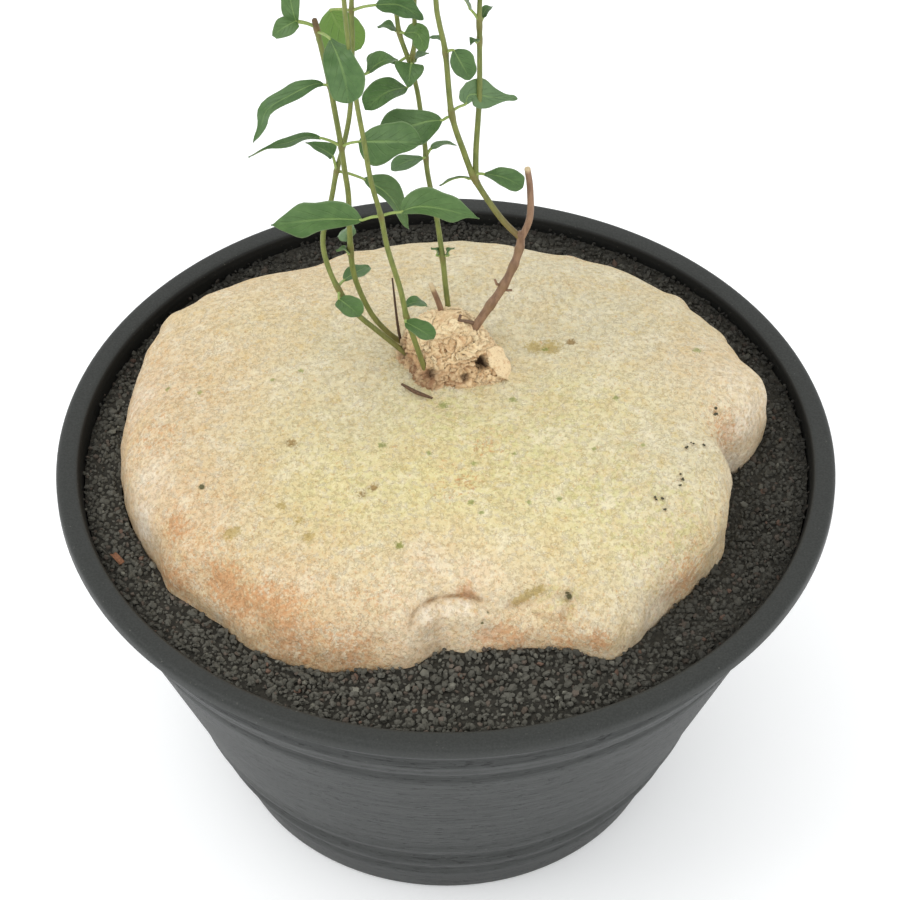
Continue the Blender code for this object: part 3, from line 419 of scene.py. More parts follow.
BACK_STEM = shoot_mm([
    (1, 28, 183), (0, 29, 193), (-1, 31, 204), (-3, 33, 221), (-6, 35, 239), (-7, 37, 251),
    (-9, 39, 269), (-11, 40, 281), (-10, 41, 291), (-10, 42, 306), (-9, 43, 335), (-6, 44, 366),
], 0.97, 0.66, [
    leaf_mm(205, (-3, 31, 206), (-5, 31, 209), width=2.2),
    leaf_mm(205, (1, 31, 206), (3, 31, 209), width=2.2),
    leaf_mm(245, (-7.5, 34, 246.5), (-18, 28, 246.5), face=(0, -0.3, 1),
            left=(0.4, 1.5, 2.5, 3, 3, 2.4, 1.2), right=(0.3, 1.2, 2, 2.6, 3, 2.6, 1.4), pallor=0.5),
    leaf_mm(245, (-5, 37, 248), (3.5, 40, 247), left=(0.5, 1.5, 1.8, 1.4, 0.9, 0.5, 0.2),
            right=(0.5, 1.2, 1.3, 1, 0.6, 0.3, 0.2), pallor=0.6),
    leaf_mm(277, (-12.5, 36, 275), (-26, 24, 275.5), face=(0, -0.3, 1), via=[(-19.5, 30, 277.5)],
            left=(0.6, 2.5, 3.5, 3.9, 3.6, 2.8, 1.4), right=(0.9, 3.8, 5, 5.4, 5.2, 4.2, 1.8)),
    leaf_mm(280, (-11, 36, 285), (-12, 30, 280), arch=1, left=(3.5, 4.6, 4.2, 3.2, 1.8, 0.6),
            right=(4.5, 5.2, 4.4, 3, 1.6, 0.6)),
    leaf_mm(285, (-16, 41, 281), (-26, 42, 276), face=(0, -0.4, 1),
            via=[(-19, 41, 283), (-23.5, 42, 281.5)], left=(0.4, 1.3, 1.8, 2, 1.8, 1.2, 0.5),
            right=(0.4, 1.5, 2.2, 2, 2.2, 1.5, 0.6), wave=0.8),
    leaf_mm(285, (-10, 42, 281), (-5.5, 43, 283.5), width=3.4, pallor=0.6),
    leaf_mm(335, (-9, 47, 338), (-8, 64, 335), width=11, arch=3),
    leaf_mm(335, (-10, 39, 338), (-16, 24, 335), width=11, arch=3),
    leaf_mm(364, (-4, 47, 369), (-1, 56, 374), width=5),
    leaf_mm(364, (-7, 41, 369), (-9, 32, 374), width=5),
])
BACK_FORK = shoot_mm([
    (-11, 40, 280), (-13, 41, 286), (-15, 43, 292), (-16, 44, 300), (-18, 45, 315), (-19, 45, 327),
], 0.85, 0.66, [
    leaf_mm(292, (-13.5, 41, 293.5), (-6.5, 36, 290), face=(0, -0.5, 1), via=[(-9, 38, 295.5)],
            left=(0.6, 2.4, 3.2, 3.6, 3, 1.8, 0.8), right=(0.4, 1.6, 2.4, 3, 3.2, 2.4, 0.8), glow=0.3),
    leaf_mm(292, (-16, 44, 292), (-22, 44, 293.5), width=4.5),
    leaf_mm(325, (-21, 47, 330), (-28, 53, 332), width=6),
    leaf_mm(325, (-20, 42, 330), (-21, 34, 333), width=5),
])
WOODY_BASE = shoot_mm([
    (10, 19, 184), (15, 20, 193), (19, 21, 200), (23, 22, 210), (25, 23, 218), (25, 23, 223),
], 1.6, 1.35)

# Heights of the old leaf scars on the woody stem
WOOD_SCARS = metres((193.5, 201.5, 209.5, 216.5))
WOODY_STUB = shoot_mm([
    (25, 23, 220), (28, 24, 229), (28, 26, 240), (27, 27, 248),
], 1.25, 1.05)

WOODY_HOOKS = [
    shoot_mm([(18.5, 21, 200), (21, 20, 200), (22.2, 19, 201)], 0.6, 0.4),
    shoot_mm([(19, 21, 201), (17.2, 21, 202), (16.6, 21, 204)], 0.6, 0.4),
]

WOODY_SHOOTS = (WOODY_BASE, WOODY_STUB, *WOODY_HOOKS)
RIGHT_SHOOT = shoot_mm([
    (25, 23, 221), (19, 24, 228), (13, 25, 238), (9, 26, 246), (6, 26, 256), (2, 25, 273), (0, 24, 299),
    (-2, 23, 312), (-3, 23, 321), (-4, 22, 350), (-3, 21, 384), (-1, 20, 410),
], 1.1, 0.66, [
    leaf_mm(244, (8, 26, 244.5), (-2, 27, 240.5), face=(0, 0.7, 0.7),
            via=[(5.5, 26.5, 245), (2, 27, 243.5)], left=(0.3, 0.5, 0.6, 0.5, 0.3),
            right=(0.3, 0.6, 0.6, 0.4, 0.3)),
    leaf_mm(246, (12.5, 26, 246.5), (25.5, 20, 246), face=(0, -0.4, 1), via=[(19, 23, 247.5)],
            left=(0.5, 1.9, 2.9, 3.5, 3.9, 3.8, 2.6), right=(0.4, 1.4, 2.4, 3.1, 3.5, 3.5, 2.6)),
    leaf_mm(272, (-1, 26, 269.5), (-22.5, 26, 263.5), face=(0, -0.6, 1),
            via=[(-6, 26, 269), (-14, 26, 266)], left=(1.5, 6, 8, 7.4, 6.2, 4, 0.6),
            right=(0.8, 3, 4.6, 5.6, 6.6, 5.2, 0.8)),
    leaf_mm(274, (6.5, 28, 274.5), (23.5, 34, 272), face=(0, -0.9, 0.5),
            via=[(8, 30, 277), (15, 33, 273.5)], left=(1.5, 4.6, 5.6, 4.4, 2.6, 1.3, 1.2),
            right=(1, 3, 4.2, 3.8, 2.4, 1, 1), pallor=0.5),
    leaf_mm(299, (0, 25, 301.5), (-5, 26, 303.5), width=3, pallor=0.5),
    leaf_mm(299, (2.5, 23, 301), (8, 18, 293), face=(0.3, -0.3, 1), via=[(6, 20, 295.5)],
            left=(1, 3.6, 4.6, 4.9, 4.6, 3.6, 1.6), right=(1, 3.6, 4.4, 4.6, 4.2, 3.2, 1.4)),
    leaf_mm(350, (-8, 22, 353), (-22, 19, 351), width=10, arch=2.5),
    leaf_mm(350, (0, 20, 353), (12, 10, 351), width=10, arch=2.5),
    leaf_mm(384, (-3, 17, 387), (-4, 1, 384), width=10, arch=2.5),
    leaf_mm(384, (-3, 25, 387), (-1, 41, 384), width=10, arch=2.5),
    leaf_mm(408, (-3, 18, 414), (-7, 11, 420), width=4.5),
    leaf_mm(408, (1, 22, 414), (6, 28, 420), width=4.5),
])
RIGHT_FORK = shoot_mm([
    (10, 26, 244), (10, 28, 255), (11, 31, 275), (11, 34, 295), (11, 36, 311), (13, 38, 345),
    (16, 40, 376),
], 1, 0.66, [
    leaf_mm(296, (10, 32, 297), (8, 28, 299), width=3.4),
    leaf_mm(301, (12, 37, 303), (15, 40, 305), width=3.4),
    leaf_mm(303, (8, 35, 308), (1, 33, 317), width=6.5),
    leaf_mm(345, (13, 42, 348), (10, 58, 345), width=10, arch=2.5),
    leaf_mm(345, (15, 34, 348), (19, 20, 345), width=10, arch=2.5),
    leaf_mm(374, (19, 42, 380), (27, 46, 386), width=5),
    leaf_mm(374, (13, 38, 380), (6, 34, 386), width=5),
])
CUT_STUB = shoot_mm([
    (-1, 25, 181), (-2, 25, 188), (-5, 24, 199),
], 1.1, 0.9)
DEAD_TWIG = shoot_mm([
    (-13.5, 20.5, 169), (-16, 20.5, 180), (-18, 20.5, 205),
], 0.6, 0.3)
DRY_NUB = shoot_mm([
    (10, 19, 185.5), (7.5, 19, 186.6), (4.5, 19.2, 187), (5, 19.5, 189),
], 0.7, 0.5)

# A sliver of stem on the caudex, a chip of bark on the grit, and crumbs on the bark's dark specks
DRY_SLIVER = metres([(-15, 3.2, 172.2), (-10.1, -1, 172.5), (-4.6, -3.6, 172.2)])
CHIP_ROUTE = metres([(-112.5, -42.5, 136.2), (-111.2, -44.5, 136.8), (-109.2, -46.8, 136.2)])
CHIP_HALVES = metres((1.1, 1.2))
CHIP_FACE = (0.2, -0.2, 1)
CHIP_FOLD = 0.5
CHIP_THICKNESS = 0.0005
CRUMB_SEED = 8
CRUMBS_PER_SPECK = 3
CRUMB_FLATNESS = 0.6

# Camera and lights, set to match the photograph
CAMERA_PLACE = (0.00145, -0.8947, 1.0355)
CAMERA_TILT = 45.095
CAMERA_LENS = 146.5
SKY_STRENGTH = 1.1
LIGHT_SIZE = 1.2
LIGHT_AIM = 0.15
FLOOR_REACH = 6.0


def srgb(red, green, blue):
    """Linear colour, with alpha, of a display colour given from 0 to 255."""
    shares = [channel / 255 for channel in (red, green, blue)]
    return tuple(c / 12.92 if c <= 0.04045 else ((c + 0.055) / 1.055) ** 2.4 for c in shares) + (1.0,)


class Graph:
    """Short names for building one material's nodes. Texture sizes are in millimetres."""

    def __init__(self, name):
        self.material = bpy.data.materials.new(name)
        self.material.use_nodes = True
        self.tree = self.material.node_tree
        self.shader = self.tree.nodes["Principled BSDF"]

    def add(self, kind, **settings):
        node = self.tree.nodes.new(f"ShaderNode{kind}")
        for key, value in settings.items():
            setattr(node, key, value)
        return node

    def feed(self, socket, value):
        if isinstance(value, bpy.types.NodeSocket):
            self.tree.links.new(value, socket)
        else:
            socket.default_value = value

    def place(self, stretch=(1, 1, 1)):
        """Position on the object in millimetres, scaled along each axis."""
        coordinates = self.add("TexCoord")
        scale = self.add("VectorMath", operation="MULTIPLY")
        self.feed(scale.inputs[0], coordinates.outputs["Object"])
        scale.inputs[1].default_value = [1000 * share for share in stretch]
        return scale.outputs[0]

    def texture(self, kind, place, size, **settings):
        """A texture over a position, with its pattern's size in millimetres."""
        node = self.add(kind, **settings)
        self.feed(node.inputs["Vector"], place)
        node.inputs["Scale"].default_value = 1 / size
        return node

    def warped(self, place, size, amount):
        """A position pushed about by noise, so that cells and lines aren't regular."""
        source = self.texture("TexNoise", place, size)
        source.inputs["Detail"].default_value = 2
        shift = self.add("VectorMath", operation="MULTIPLY_ADD")
        self.feed(shift.inputs[0], source.outputs["Color"])
        shift.inputs[1].default_value = (amount, amount, amount)
        self.feed(shift.inputs[2], place)
        return shift.outputs[0]

    def noise(self, place, size, detail=3, roughness=0.55):
        node = self.texture("TexNoise", place, size)
        node.inputs["Detail"].default_value = detail
        node.inputs["Roughness"].default_value = roughness
        return node.outputs["Fac"]

    def cells(self, place, size, feature="F1"):
        return self.texture("TexVoronoi", place, size, feature=feature).outputs["Distance"]

    def value(self, name):
        """A value kept on the mesh's points."""
        return self.add("Attribute", attribute_name=name).outputs["Fac"]

    def color(self, name):
        """A colour kept on the mesh's points."""
        return self.add("Attribute", attribute_name=name).outputs["Color"]

    def math(self, operation, a, b=0.0, clamp=False):
        node = self.add("Math", operation=operation, use_clamp=clamp)
        self.feed(node.inputs[0], a)
        self.feed(node.inputs[1], b)
        return node.outputs[0]

    def plus(self, a, b, clamp=False):
        return self.math("ADD", a, b, clamp)

    def minus(self, a, b):
        return self.math("SUBTRACT", a, b)

    def times(self, a, b, clamp=False):
        return self.math("MULTIPLY", a, b, clamp)

    def step(self, value, low, high, out_low=0.0, out_high=1.0):
        """A smooth step from out_low at low to out_high at high."""
        node = self.add("MapRange", interpolation_type="SMOOTHSTEP")
        self.feed(node.inputs["Value"], value)
        ends = {"From Min": low, "From Max": high, "To Min": out_low, "To Max": out_high}
        for socket, end in ends.items():
            self.feed(node.inputs[socket], end)
        return node.outputs["Result"]

    def mix(self, share, a, b):
        """Colour a where the share is 0, and b where it is 1."""
        node = self.add("Mix", data_type="RGBA")
        self.feed(node.inputs["Factor"], share)
        self.feed(node.inputs[6], a)
        self.feed(node.inputs[7], b)
        return node.outputs[2]

    def tint(self, color, share, strength, other):
        """The colour with some of another over it, by a share and a strength."""
        return self.mix(self.times(share, strength), color, other)

    def layers(self, color, *rows):
        """The colour with others over it. A row is a texture, its step's two ends, a strength and a colour."""
        for texture, low, high, strength, other in rows:
            color = self.tint(color, self.step(texture, low, high), strength, other)
        return color

    def bump(self, height, distance):
        """Relief whose full height is a distance in metres."""
        node = self.add("Bump")
        node.inputs["Distance"].default_value = distance
        self.feed(node.inputs["Height"], height)
        return node.outputs[0]

    def finish(self, color, roughness, normal=None, **levels):
        """Wires the shader up. levels are its other sockets, by name with underscores."""
        self.feed(self.shader.inputs["Base Color"], color)
        self.feed(self.shader.inputs["Roughness"], roughness)
        if normal is not None:
            self.feed(self.shader.inputs["Normal"], normal)
        for name, value in levels.items():
            self.shader.inputs[name.replace("_", " ")].default_value = value
        return self.material


def bark_material():
    """Pale bark, finely speckled and cracked, tinted by the values kept on the mesh's points."""
    g = Graph("bark")
    place = g.place()
    loose = g.warped(place, 1.1, 1.3)
    swirled = g.warped(place, 2.0, 2.0)
    fine = g.noise(place, 0.6, 4, 0.7)
    speckle = g.noise(g.warped(place, 0.8, 0.8), 0.42, 3, 0.7)
    medium = g.noise(place, 1.9, 4, 0.65)
    blotch = g.noise(place, 5.5, 5, 0.65)
    color = g.mix(g.step(g.noise(place, 30, 2), 0.35, 0.65), srgb(211, 198, 165), srgb(206, 196, 162))
    color = g.mix(g.value("yellow"), color, srgb(214, 203, 148))
    color = g.mix(g.value("grey"), color, srgb(203, 197, 171))
    pink = g.times(g.value("pink"), g.step(blotch, 0.30, 0.55, 0.6, 1.0))
    color = g.mix(pink, color, srgb(212, 187, 152))
    cloud = g.noise(swirled, 11, 5, 0.65)
    tan = g.mix(g.value("pink"), srgb(200, 178, 116), srgb(204, 156, 106))
    flake = g.noise(swirled, 1.6, 4, 0.7)
    rust = g.plus(g.times(g.value("rust"), 0.19), g.noise(swirled, 1.7, 5, 0.7))
    flecks = g.plus(g.times(g.value("rust"), 0.13), g.noise(place, 1.0, 3, 0.6))
    flecks = g.plus(flecks, g.times(g.value("pink"), 0.035))
    color = g.layers(
        color,
        (cloud, 0.50, 0.60, 0.38, srgb(206, 184, 140)),
        (cloud, 0.46, 0.38, 0.42, srgb(226, 217, 192)),
        (blotch, 0.50, 0.64, 0.24, srgb(208, 186, 136)),
        (g.noise(place, 3.4, 4, 0.6), 0.53, 0.64, 0.40, srgb(222, 216, 196)),
        (flake, 0.53, 0.63, 0.34, tan),
        (flake, 0.47, 0.38, 0.28, srgb(240, 231, 192)),
        (g.noise(swirled, 3.6, 5, 0.75), 0.56, 0.64, 0.48, tan),
        (rust, 0.60, 0.75, 0.78, srgb(198, 145, 98)),
        (flecks, 0.61, 0.69, 0.45, srgb(188, 136, 90)),
    )
    # pale is paler dry skin, and painted light on the front.
    pale = g.times(g.value("pale"), g.step(medium, 0.30, 0.62), True)
    color = g.mix(pale, color, srgb(236, 226, 208))
    green = g.times(g.value("green"), g.step(g.noise(place, 2.6, 4, 0.6), 0.46, 0.62), True)
    color = g.tint(color, green, 0.50, srgb(190, 190, 118))
    net = g.plus(crack_net(g, loose, place, 1.9, 0.10), crack_net(g, loose, place, 1.0, 0.09), True)
    net = g.times(net, g.step(g.noise(place, 1.7, 4, 0.7), 0.46, 0.60, 0.05, 1.0))
    color = g.tint(color, net, 0.27, srgb(150, 128, 86))
    ragged = g.times(g.minus(g.noise(place, 0.9, 3, 0.6), 0.5), 1.6)
    color = g.layers(
        color,
        (fine, 0.54, 0.66, 0.11, srgb(190, 160, 112)),
        (fine, 0.46, 0.34, 0.20, srgb(245, 236, 198)),
        (speckle, 0.58, 0.68, 0.11, srgb(170, 142, 96)),
        (speckle, 0.42, 0.32, 0.12, srgb(250, 242, 218)),
        (g.plus(g.value("stain"), ragged), 0.35, 0.80, 0.80, srgb(140, 112, 64)),
        (g.plus(g.value("dimple"), ragged), 0.30, 0.90, 0.75, srgb(168, 146, 84)),
        (g.plus(g.value("moss"), ragged), 0.40, 0.90, 0.75, srgb(132, 140, 74)),
    )
    # The shade value is painted shade, with the bark's dark specks in it.
    color = g.mix(g.value("shade"), color, srgb(138, 100, 60))
    pit = g.plus(g.value("pit"), g.times(ragged, 0.6))
    color = g.layers(color, (pit, 0.35, 0.75, 0.90, srgb(84, 84, 52)))
    height = g.minus(g.times(fine, 0.6), g.times(net, 0.5))
    height = g.plus(height, g.times(medium, 0.8))
    normal = g.bump(height, 0.00032)
    return g.finish(color, 0.82, normal, Specular_IOR_Level=0.2)


def crack_net(g, loose, place, size, width):
    """Thin broken lines between cells of the bark, wider and narrower as they go."""
    edge = g.cells(loose, size, feature="DISTANCE_TO_EDGE")
    uneven = g.times(g.noise(place, 0.8, 2), 2.0 * width)
    return g.step(g.minus(edge, uneven), -0.6 * width, 0.4 * width, 1.0, 0.0)


def cork_material():
    """Papery cork: cream and tan scales, browner low down and in patches, with painted shade in their hollows,
    cracks and rotted holes.
    """
    g = Graph("cork")
    place = g.place()
    streak = g.noise(g.warped(place, 2.0, 1.5), 0.8, 4, 0.6)
    blotch = g.noise(place, 2.8, 4, 0.6)
    # tone holds painted shade, darker where the scales sink.
    color = g.mix(g.value("tone"), srgb(215, 179, 134), srgb(238, 218, 178))
    color = g.layers(
        color,
        (blotch, 0.50, 0.64, 0.45, srgb(188, 140, 98)),
        (streak, 0.54, 0.66, 0.34, srgb(146, 108, 76)),
        (streak, 0.46, 0.36, 0.40, srgb(242, 224, 186)),
    )
    color = g.mix(g.times(g.value("brown"), g.step(blotch, 0.3, 0.6, 0.5, 1.0)), color, srgb(138, 104, 76))
    # dark is painted shade in the cracks and rotted holes.
    color = g.mix(g.value("dark"), color, srgb(66, 48, 34))
    normal = g.bump(g.plus(streak, g.times(blotch, 0.7)), 0.0004)
    return g.finish(color, 0.85, normal, Specular_IOR_Level=0.15)


def leaf_material():
    """Satin leaf: green above with a pale rib and faint veins, grey-green below."""
    g = Graph("leaf")
    place = g.place()
    along = g.value("along")
    off_rib = g.math("ABSOLUTE", g.value("across"))
    patch = g.noise(place, 3.5, 3)
    upper = g.mix(g.step(patch, 0.3, 0.7), srgb(51, 85, 42), srgb(69, 101, 54))
    under = g.mix(g.step(patch, 0.3, 0.7), srgb(88, 112, 80), srgb(102, 124, 92))
    color = g.mix(g.value("under"), upper, under)
    color = g.tint(color, g.value("tone"), 0.28, srgb(112, 142, 68))
    color = g.tint(color, g.value("pallor"), 0.6, srgb(120, 146, 112))
    # glow is painted light coming through the leaf.
    color = g.tint(color, g.value("glow"), 0.75, srgb(120, 156, 76))
    slant = g.minus(g.times(along, 8.0), g.times(off_rib, 2.4))
    vein = g.math("ABSOLUTE", g.minus(g.math("FRACT", slant), 0.5))
    vein = g.times(g.step(vein, 0.03, 0.10, 1.0, 0.0), g.step(off_rib, 0.85, 0.35))
    rib = g.step(off_rib, 0.03, 0.09, 1.0, 0.0)
    rib = g.times(rib, g.step(along, 0.15, 0.85, 1.0, 0.1))
    color = g.tint(color, vein, 0.10, srgb(128, 152, 104))
    color = g.tint(color, rib, 0.55, srgb(132, 160, 90))
    color = g.mix(g.step(along, 0.0, 0.10, 0.65, 0.0), color, srgb(140, 164, 84))
    color = g.tint(color, g.step(off_rib, 0.90, 1.0), 0.40, srgb(140, 158, 118))
    height = g.plus(g.times(g.plus(vein, rib, True), -0.5), g.times(patch, 0.5))
    normal = g.bump(height, 0.00025)
    return g.finish(color, 0.42, normal, Specular_IOR_Level=0.4)


def stem_material(name, young, old, brown_below):
    """Smooth stem: green, browner towards its foot and at its nodes."""
    g = Graph(name)
    place = g.place()
    patch = g.noise(g.place((1, 1, 0.25)), 1.6, 3)
    color = g.mix(g.step(patch, 0.35, 0.65), young, old)
    color = g.mix(g.value("tone"), color, srgb(116, 92, 58))
    fine = g.noise(place, 0.5, 3)
    color = g.tint(color, g.step(fine, 0.55, 0.7), 0.25, brown_below)
    color = g.mix(g.value("cut"), color, srgb(196, 176, 140))
    color = g.mix(g.value("dark"), color, srgb(58, 42, 32))
    normal = g.bump(g.plus(fine, patch), 0.00015)
    return g.finish(color, 0.50, normal, Specular_IOR_Level=0.35)


def grit_material():
    """Grains of black lava grit, each with its own colour, in which shadow by the wall and light at the front
    left are painted.
    """
    g = Graph("grit")
    dust = g.noise(g.place(), 0.35, 3, 0.7)
    color = g.tint(g.color("shade"), g.step(dust, 0.50, 0.75), 0.30, srgb(92, 89, 80))
    normal = g.bump(dust, 0.00020)
    return g.finish(color, 0.80, normal, Specular_IOR_Level=0.25)


def ground_material():
    """The dark packed grit under the loose grains."""
    g = Graph("packed_grit")
    place = g.place()
    cell = g.cells(place, 1.6)
    color = g.mix(g.step(cell, 0.2, 0.8), srgb(54, 52, 46), srgb(42, 41, 36))
    normal = g.bump(g.times(cell, -1.0), 0.0008)
    return g.finish(color, 0.9, normal, Specular_IOR_Level=0.2)


def pot_material():
    """Matt black plastic: darker on its rim, with painted shade inside, and combed rings and short nicks on the
    wall.
    """
    g = Graph("pot")
    wall = g.value("wall")
    combed = g.noise(g.place((0.035, 0.035, 1)), 0.50, 4, 0.7)
    band = g.noise(g.place((0.02, 0.02, 1)), 2.6, 3, 0.6)
    nick = g.noise(g.place((0.22, 0.22, 1)), 0.9, 2, 0.5)
    speck = g.noise(g.place(), 0.7, 3)
    plain = g.mix(g.step(speck, 0.35, 0.65), srgb(42, 44, 42), srgb(50, 52, 50))
    combing = g.mix(g.step(combed, 0.35, 0.65), srgb(36, 38, 37), srgb(60, 62, 61))
    combing = g.tint(combing, g.step(band, 0.45, 0.62), 0.4, srgb(65, 67, 66))
    color = g.mix(wall, plain, combing)
    # Painted shade on the inside of the pot.
    color = g.mix(g.value("inside"), color, srgb(26, 27, 26))
    nicks = g.times(g.step(nick, 0.62, 0.68), wall)
    color = g.tint(color, nicks, 0.65, srgb(24, 24, 24))
    dust = g.times(g.step(g.noise(g.place(), 1.1, 3, 0.7), 0.66, 0.72), 0.35)
    color = g.mix(dust, color, srgb(120, 120, 112))
    height = g.plus(g.times(combed, wall), g.times(speck, 0.25))
    height = g.minus(height, nicks)
    normal = g.bump(height, 0.00025)
    return g.finish(color, 0.50, normal, Specular_IOR_Level=0.25)


def plain_material(name, color):
    """A dry scrap's material, mottled a little."""
    g = Graph(name)
    dark = tuple(0.55 * channel for channel in color[:3]) + (1.0,)
    mottled = g.mix(g.step(g.noise(g.place(), 0.9, 4), 0.35, 0.65), dark, color)
    return g.finish(mottled, 0.85)


def placed(name, data):
    """A new object of a mesh, light or camera, put in the scene."""
    obj = bpy.data.objects.new(name, data)
    bpy.context.scene.collection.objects.link(obj)
    return obj


def new_mesh(name, points, faces, *materials):
    """A mesh from its points and faces, with its materials."""
    mesh = bpy.data.meshes.new(name)
    mesh.from_pydata([tuple(point) for point in points], [], faces)
    for material in materials:
        mesh.materials.append(material)
    return mesh


class Skin:
    """Gathers the points, faces and per-point values of one piece."""

    def __init__(self):
        self.points = []
        self.faces = []
        self.slots = []
        self.values = []

    def add(self, points, faces, slot=0, **values):
        """values are numbers for all the points, or lists with one for each."""
        start = len(self.points)
        self.points.extend(points)
        self.faces.extend([tuple(start + corner for corner in face) for face in faces])
        self.slots.extend([slot] * len(faces))
        self.values.append((len(points), values))

    def build(self, name, *materials):
        """The piece as a smooth object, with its values on its points."""
        mesh = new_mesh(name, self.points, self.faces, *materials)
        mesh.polygons.foreach_set("material_index", self.slots)
        for key in sorted({key for _, values in self.values for key in values}):
            column = []
            for count, values in self.values:
                given = values.get(key, 0.0)
                column.extend(given if hasattr(given, "__len__") else [given] * count)
            attribute = mesh.attributes.new(key, "FLOAT", "POINT")
            attribute.data.foreach_set("value", np.asarray(column, np.float32))
        mesh.shade_smooth()
        mesh.update()
        return placed(name, mesh)


def keep(obj, slot, *nodes):
    """Makes a piece ride on the one body and hides the solids that it stands for. slot is not used."""
    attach(obj, BODY)
    if nodes:
        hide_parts(*nodes)


def grid_faces(rows, columns, wrap=True):
    """Quads of a grid of points that closes on itself sideways."""
    faces = []
    span = columns if wrap else columns - 1
    for row in range(rows - 1):
        for column in range(span):
            after = (column + 1) % columns
            faces.append((row * columns + column, row * columns + after,
                          (row + 1) * columns + after, (row + 1) * columns + column))
    return faces


def around(table, degrees):
    """Smooth closed curve through (direction, value) pairs, read at a direction."""
    degrees = (degrees - table[0][0]) % 360 + table[0][0]
    count = len(table)
    span = max(index for index in range(count) if table[index][0] <= degrees)

    def knot(index):
        turns, place = divmod(index, count)
        return table[place][0] + 360 * turns, table[place][1]

    (x0, y0), (x1, y1), (x2, y2), (x3, y3) = [knot(span + step) for step in (-1, 0, 1, 2)]
    t = (degrees - x1) / (x2 - x1)
    slope_start = (y2 - y0) / (x2 - x0) * (x2 - x1)
    slope_end = (y3 - y1) / (x3 - x1) * (x2 - x1)
    return (
        (2 * t**3 - 3 * t**2 + 1) * y1
        + (t**3 - 2 * t**2 + t) * slope_start
        + (3 * t**2 - 2 * t**3) * y2
        + (t**3 - t**2) * slope_end
    )


def caudex_reach(degrees, height):
    """Distance from the pot's axis to the caudex's skin in a direction, at a height."""
    waist = around(WAIST_HEIGHT, degrees)
    power = around(SHOULDER_POWER, degrees) if height >= waist else BELLY_POWER
    end = CAUDEX_TOP if height >= waist else CAUDEX_BOTTOM
    rise = min(1, abs(height - waist) / abs(end - waist))
    return around(CAUDEX_OUTLINE, degrees) * (1 - rise**power) ** (1 / power)


def ring_angles(power, count):
    """Angles, from upright to level, of rings spread evenly over a quarter of the caudex's side."""
    angles = np.linspace(0, 0.5 * math.pi, 1601)
    reach, rise = shares(angles, power)
    steps = np.hypot(np.diff(reach), 0.3 * np.diff(rise))
    length = np.concatenate([[0], np.cumsum(steps)])
    return np.interp(np.linspace(0, length[-1], count + 1)[1:], length, angles)


def shares(angles, power):
    """Shares of the caudex's radius and of its height that a ring at an angle has."""
    scale = (np.sin(angles) ** power + np.cos(angles) ** power) ** (1 / power)
    return np.sin(angles) / scale, np.cos(angles) / scale


def line_distance(points, line):
    """Distance of each point to a line of a few places."""
    line = [np.array(place) for place in line]
    if len(line) == 1:
        return np.linalg.norm(points - line[0], axis=1)
    nearest = np.full(len(points), 1e9)
    for start, end in zip(line, line[1:]):
        run = end - start
        share = np.clip((points - start) @ run / (run @ run), 0, 1)
        nearest = np.minimum(nearest, np.linalg.norm(points - (start + share[:, None] * run), axis=1))
    return nearest


def blotted(points, spots):
    """How much of a tint each point has, from soft round blots."""
    amount = np.zeros(len(points))
    for blot in spots:
        away = np.linalg.norm(points - np.array(blot.place), axis=1) / blot.size
        amount = np.maximum(amount, blot.strength * np.exp(-away * away))
    return amount


def rough(points, size):
    """Smooth noise at each point."""
    return np.array([noise.noise(Vector(point) / size) for point in points])


def lip_shift(angles):
    """How far the lip's knobs and nicks stand out in each direction."""
    shift = np.zeros(np.shape(angles))
    for direction, width, amount in LIP_KNOBS:
        away = (angles - direction + 180) % 360 - 180
        shift = shift + MM * amount * np.exp(-((away / width) ** 2))
    return shift


def caudex_form():
    """The caudex's plain form as rings of points, with the knobs and nicks of its lip."""
    angles = np.linspace(0, 360, CAUDEX_AROUND, endpoint=False)
    radius = np.array([around(CAUDEX_OUTLINE, angle) for angle in angles])
    waist = np.array([around(WAIST_HEIGHT, angle) for angle in angles])
    shoulder = np.array([around(SHOULDER_POWER, angle) for angle in angles])
    knobs = lip_shift(angles)
    rings = [(angle, shoulder, CAUDEX_TOP) for angle in ring_angles(SHOULDER_POWER[1][1], CAUDEX_TOP_RINGS)]
    under = ring_angles(BELLY_POWER, CAUDEX_UNDER_RINGS)[-2::-1]
    rings += [(angle, BELLY_POWER, CAUDEX_BOTTOM) for angle in under]
    turns = np.radians(angles)
    grid = []
    for angle, power, end in rings:
        reach, rise = shares(angle, power)
        out = reach * (radius + knobs * reach**8)
        level = waist + rise * (end - waist)
        grid.append(np.stack([out * np.cos(turns), out * np.sin(turns), level], axis=1))
    return np.array(grid)


def refined(grid):
    """Points, normals and faces of the form, with smaller faces where it has small marks."""
    rings, columns = grid.shape[:2]
    points = list(grid.reshape(-1, 3)) + [grid[0].mean(axis=0), grid[-1].mean(axis=0)]
    count = rings * columns
    faces = [face[::-1] for face in grid_faces(rings, columns)]
    for column in range(columns):
        after = (column + 1) % columns
        faces.append((column, after, count))
        faces.append((count - columns + after, count - columns + column, count + 1))
    mesh = new_mesh("caudex form", points, faces)
    bm = bmesh.new()
    bm.from_mesh(mesh)
    places = np.array(points)
    near = np.zeros(len(points), bool)
    for line, reach in fine_marks():
        near |= line_distance(places, line) < reach
    bm.verts.ensure_lookup_table()
    edges = [edge for edge in bm.edges if near[edge.verts[0].index] and near[edge.verts[1].index]]
    bmesh.ops.subdivide_edges(bm, edges=edges, cuts=2, use_grid_fill=True)
    bm.normal_update()
    points = np.array([vert.co[:] for vert in bm.verts])
    normals = np.array([vert.normal[:] for vert in bm.verts])
    bm.verts.index_update()
    faces = [tuple(vert.index for vert in face.verts) for face in bm.faces]
    bm.free()
    bpy.data.meshes.remove(mesh)
    return points, normals, faces


